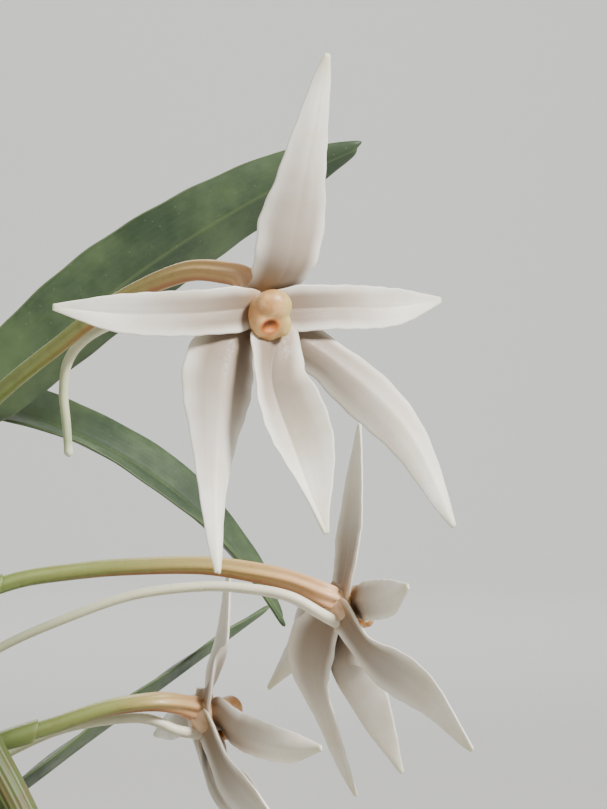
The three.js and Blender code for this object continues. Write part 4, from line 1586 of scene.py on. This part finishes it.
@dataclass
class Studio:
    """A round pale paper sweep, soft lights, and the camera."""

    floor_radius: float = 2.6
    wall_height: float = 3.0
    sweep: float = 0.9

    # The camera looks level along +Y; its focal length is in pixels of the picture's long side
    CAMERA_PLACE = (0.022, -0.260, 0.200)
    FOCAL_PIXELS = 2600
    PICTURE_HEIGHT = 809
    SENSOR = 36.0

    def build(self) -> None:
        """Builds the floor, the lights and the camera."""
        self.build_floor()
        target = Vector((0.02, 0.02, 0.19))
        self.light("key", Vector((0.62, -0.34, 0.82)), target, 0.22, 23.0, (1.0, 0.98, 0.95))
        self.light("fill", Vector((-0.75, -0.6, 0.3)), target, 0.9, 4.0, (1.0, 0.96, 0.9))
        self.light("rim", Vector((-0.25, 0.65, 0.75)), target, 0.45, 4.0, (1.0, 0.98, 0.95))
        self.light("backdrop", Vector((0, 1.7, 1.9)), Vector((0, 3.3, 0.4)), 1.2, 55.0, (1.0, 1.0, 1.0))
        world = bpy.data.worlds.new("studio")
        world.use_nodes = True
        world.node_tree.nodes["Background"].inputs["Color"].default_value = (1.0, 0.99, 0.97, 1.0)
        world.node_tree.nodes["Background"].inputs["Strength"].default_value = 0.33
        bpy.context.scene.world = world
        self.build_camera()

    def build_floor(self) -> bpy.types.Object:
        """A disc whose edge sweeps up into a wall all round."""
        deselect()
        bpy.ops.mesh.primitive_circle_add(
            vertices=96, radius=self.floor_radius, fill_type="NGON", location=(0, 0, 0))
        floor = bpy.context.active_object
        floor.name = "paper_sweep"
        with editing(floor) as mesh:
            bpy.ops.mesh.select_all(action="DESELECT")
            for edge in mesh.edges:
                edge.select = True
            bmesh.update_edit_mesh(floor.data)
            radius, level, steps = self.floor_radius, 0.0, 12
            for i in range(1, steps + 1):
                turn = i / steps * math.pi / 2
                new_radius = self.floor_radius + self.sweep * math.sin(turn)
                new_level = self.sweep * (1 - math.cos(turn))
                bpy.ops.mesh.extrude_edges_move(TRANSFORM_OT_translate={"value": (0, 0, new_level - level)})
                grown = new_radius / radius
                bpy.ops.transform.resize(value=(grown, grown, 1), center_override=(0, 0, new_level))
                radius, level = new_radius, new_level
            bpy.ops.mesh.extrude_edges_move(TRANSFORM_OT_translate={"value": (0, 0, self.wall_height)})
        take(floor)
        bpy.ops.object.shade_smooth()
        floor.data.materials.append(PlainFinish("pale_paper", (0.62, 0.62, 0.61, 1.0)).make())
        return floor

    def light(
        self, name: str, place: Vector, target: Vector, size: float, watts: float, colour: Point
    ) -> bpy.types.Object:
        """A soft square light, aimed at the plant."""
        deselect()
        bpy.ops.object.light_add(type="AREA", location=place)
        lamp = bpy.context.active_object
        lamp.name = f"light_{name}"
        lamp.rotation_euler = (target - place).to_track_quat("-Z", "Y").to_euler()
        lamp.data.size = size
        lamp.data.energy = watts
        lamp.data.color = colour
        return lamp

    def build_camera(self) -> bpy.types.Object:
        """The camera, level with the flowers and close to them."""
        bpy.ops.object.camera_add(location=self.CAMERA_PLACE, rotation=(math.pi / 2, 0, 0))
        camera = bpy.context.active_object
        camera.name = "camera"
        camera.data.sensor_width = self.SENSOR
        camera.data.lens = self.FOCAL_PIXELS / self.PICTURE_HEIGHT * self.SENSOR
        camera.data.clip_start = 0.01
        bpy.context.scene.camera = camera
        return camera


# Each stem's route, and its leaves from below
STEMS = (
    (((6, 10, 67), (6, 12, 90), (5, 15, 112), (0, 21, 135), (-9, 27, 154), (-15.5, 30, 166), (-18.5, 31, 182),
      (-20, 31, 200), (-23, 31, 216), (-26.5, 31, 229)),
     (Leaf(101, 205, 22, 50, 0, 52, 11), Leaf(111, -8, 18, 55, 0, 54, 11), Leaf(124, 198, 30, 50, 0, 58, 12),
      Leaf(135, 5, -8, 30, 0, 56, 12), Leaf(148, 196, 35, 46, 0, 62, 12), Leaf(168, 194, 40, 44, 0, 64, 12.5),
      Leaf(187, 192, 44, 40, 0, 62, 12), Leaf(197.6, 9.5, 47, 24, -72, 56, 10.6),
      Leaf(209, 188, 52, 34, 0, 56, 11.5), Leaf(217, 12, 80, -2, 0, 24, 8),
      Leaf(223, 190, 66, 14, 0, 36, 9.5))),
    (((-7, 14, 67), (-8, 19, 88), (-11, 28, 108), (-16, 40, 132), (-21, 47, 165), (-25, 48, 200),
      (-28, 48, 214)),
     (Leaf(98, 168, 24, 48, 0, 54, 11), Leaf(108, 50, 12, 40, 0, 52, 11), Leaf(120, 166, 30, 48, 0, 58, 12),
      Leaf(131, 62, 2, 30, 0, 54, 11.5), Leaf(142, 168, 36, 46, 0, 60, 12), Leaf(151, 36, 30, 2, -24, 48, 6),
      Leaf(170, 168, 40, 44, 0, 62, 12), Leaf(189, 170, 46, 38, 0, 58, 11.5),
      Leaf(200.2, 11, -5, 56, 28, 53, 11), Leaf(209, 172, 58, 24, 0, 40, 10))),
    (((12, -6, 67), (13, -9, 86), (17, -17, 104), (21, -26, 122), (23, -31, 130)),
     (Leaf(91, -12, 26, 52, 0, 48, 10.5), Leaf(99, 196, 28, 50, 0, 50, 11), Leaf(107, -18, 34, 50, 0, 54, 11),
      Leaf(114, 198, 38, 46, 0, 50, 11), Leaf(121, -20, 52, 34, 0, 42, 10),
      Leaf(126, 196, 60, 20, 0, 28, 8.5))),
)

# Roots: one dives into the bark, one hangs over the rim, one crosses the bark and dives
ROOTS = (
    ((9.1, 12, 97), (16, 8, 94.5), (24, 1, 88), (29, -5, 77), (30.5, -7, 68)),
    ((-11.4, 22.5, 91.8), (-19, 29, 90.5), (-27.5, 35.5, 90), (-31.5, 40.3, 88.3), (-33.6, 43.2, 82),
     (-33.9, 43.6, 70), (-33, 44.2, 56), (-31, 45.5, 44)),
    ((10.1, -9.9, 85.3), (3, -15, 83), (-6, -20, 82.3), (-15, -24, 80.5), (-21, -27, 74), (-23.5, -28, 68)),
)

# Where each flower's column stands, which way it faces, and the lines that its parts follow
FLOWERS = (
    {
        "middle": (18.4, 0, 209.5),
        "facing": 30,
        "tepals": {
            "dorsal_sepal": Tepal(DORSAL_BLADE, 0, ((1.3, -1.4, 2.1), (1.7, 1.1, 4.7), (2.2, 2.1, 9.4),
                               (2.2, 4.9, 16.9), (2.8, 7.1, 25))),
            "left_sepal": Tepal(BROAD_BLADE, 0, ((-2, -1.6, -1.5), (-5.2, 0.7, -7.5), (-7.7, 3.4, -16.8),
                             (-10.1, 8.4, -25.6))),
            "right_sepal": Tepal(SLENDER_BLADE, 0, ((2, -1.7, -1.5), (7.8, 0.6, -5.5), (13.4, 5, -12.3),
                              (16.4, 9, -21.8))),
            "left_petal": Tepal(PETAL_BLADE, 0, ((-1.9, -0.9, 0.1), (-8.3, -0.6, -0.5), (-15, -2.7, -0.6),
                             (-21.3, -4.9, 0))),
            "right_petal": Tepal(PETAL_BLADE, 0, ((1.9, -0.8, 0.1), (8.2, -0.2, 0.4), (16.1, -2.6, 0.6),
                              (23.7, -4.7, 1.6))),
            "lip": Tepal(LIP_BLADE, 0, ((0.8, 0, -2.6), (-0.4, 1.4, -7.5), (0.8, 4.4, -14.9),
                      (1.1, 9.7, -22.1))),
        },
        "stalk": ((-17.3, 28.4, 195.3), (-11, 23, 201.3), (-4.1, 19, 206.5), (2.2, 15, 210.8),
                  (9.6, 9.5, 213.7), (14.4, 5.6, 213.4), (16.2, 4.2, 212.5), (16.8, 2.9, 210.6)),
        "spur": ((14, 5, 208), (8.7, 10, 208.9), (3.6, 16, 209.1), (-0.9, 21, 207.6), (-3.6, 24, 205),
                 (-4.3, 25, 201.5), (-4, 25, 198), (-3.7, 25, 194.2)),
    },
    {
        "middle": (27.7, 35, 177.6),
        "facing": 120,
        "tepals": {
            "dorsal_sepal": Tepal(DORSAL_BLADE, -5, ((-0.5, -1.3, 2.1), (1.2, 0.7, 7), (2.9, 2.2, 13.7),
                               (5.5, 4.1, 20.2))),
            "left_sepal": Tepal(SLENDER_BLADE, 0, ((-2, -1.7, -1.7), (-4, 0.3, -5.3), (-9.3, 4.3, -9.5),
                             (-14.9, 6.3, -15.6))),
            "right_sepal": Tepal(BROAD_BLADE, -9, ((2, -1.6, -1.5), (5.5, -1.4, -8), (6.9, 1.5, -15.3),
                              (8, 5.2, -23.5))),
            "left_petal": Tepal(PETAL_BLADE, 0, ((-1.9, -0.9, 0.1), (-6.8, -2.5, 0.7), (-13.9, -3.9, 1.6),
                             (-19.3, -4.9, 3.1))),
            "right_petal": Tepal(PETAL_BLADE, 0, ((1.9, -0.9, 0.1), (10.2, -0.9, -2.4), (15.1, 0.7, -6.7),
                              (20.6, 0.4, -11.8))),
            "lip": Tepal(LIP_BLADE, 0, ((0.3, -0.2, -2.6), (3.1, -0.9, -7), (2.6, 2.5, -13.4),
                      (1.8, 7.6, -20.2))),
        },
        "stalk": ((-14.7, 30.8, 178.8), (-10, 32, 180.3), (-5.4, 33, 181), (1.2, 34, 181.6),
                  (10.2, 34.5, 181.8), (16, 34, 181.1), (20.5, 33.6, 180.1), (24.2, 33, 178.6),
                  (25.5, 33.7, 178)),
        "spur": ((24.2, 31.2, 176.4), (20.5, 30.4, 178.5), (16, 30.4, 179.4), (10.5, 30, 179.7),
                 (2.8, 28, 178.8), (-4.8, 26, 176.2), (-11.3, 25, 173.3), (-16.1, 24, 169.9),
                 (-19.3, 24, 165)),
    },
    {
        "middle": (12.4, 40, 164.4),
        "facing": 110,
        "tepals": {
            "dorsal_sepal": Tepal(DORSAL_BLADE, 2, ((-0.6, -1.5, 3), (1.9, 0.7, 5.5), (4.3, 2.2, 10.1),
                               (6.7, 3.3, 15.8))),
            "left_sepal": Tepal(SLENDER_BLADE, 0, ((-2, -1.6, -1.5), (-5.6, -0.6, -5.8),
                             (-9.9, 2.3, -10.1), (-13.6, 5.3, -15.9))),
            "right_sepal": Tepal(SLENDER_BLADE, 0, ((2, -1.7, -2.5), (6.7, 1.7, -8.8), (9.3, 7.1, -15.4),
                              (12, 10.9, -23.6))),
            "left_petal": Tepal(PETAL_BLADE, 0, ((-2.2, -0.9, 0), (-4.8, 0.2, -1.5), (-10.7, 3.5, -2.7),
                             (-15.9, 6.6, -2.4))),
            "right_petal": Tepal(PETAL_BLADE, 0, ((2.4, -0.8, -0.1), (8.4, -2, -1.1), (14.6, -1.8, -2.9),
                              (20.7, -1.7, -4.9))),
            "lip": Tepal(LIP_BLADE, 0, ((0.3, -0.2, -2.6), (1.3, -0.6, -6.7), (1, 3.1, -13.4),
                      (-0.6, 7.5, -19.6))),
        },
        "stalk": ((-11.3, 31.6, 162.4), (-5.9, 33.4, 163.9), (-0.3, 34.5, 165.6), (4.6, 35.4, 166.2),
                  (7.2, 36.9, 165.9), (8.9, 38.4, 165.3), (10, 39.1, 164.8)),
        "spur": ((7.6, 37.4, 162.7), (3.4, 36.8, 164.2), (-3.8, 36.6, 163.4), (-9.7, 36.8, 161.2),
                 (-16.1, 37.6, 157.2), (-19.7, 38, 151.5)),
    },
)


def main() -> None:
    """Builds every sub-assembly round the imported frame, and the studio round them."""
    logging.basicConfig(level=logging.INFO, format="%(name)s: %(message)s")
    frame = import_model()
    log.info("frame: %d solids", len(frame["nodes"]))
    palette = Palette.mixed()
    pot = ClayPot(palette)
    pot.build()
    BarkBed(palette, pot).build()
    for i, (route, leaves) in enumerate(STEMS):
        Stem(f"stem_{i + 1}", palette, route, leaves).build()
    for i, points in enumerate(ROOTS):
        Root(f"root_{i + 1}", palette, points, i + 1).build()
    for i, values in enumerate(FLOWERS):
        Flower(name=f"flower_{i + 1}", palette=palette, seed=100 + 10 * i, **values).build()
    Studio().build()


if __name__ == "__main__":
    main()
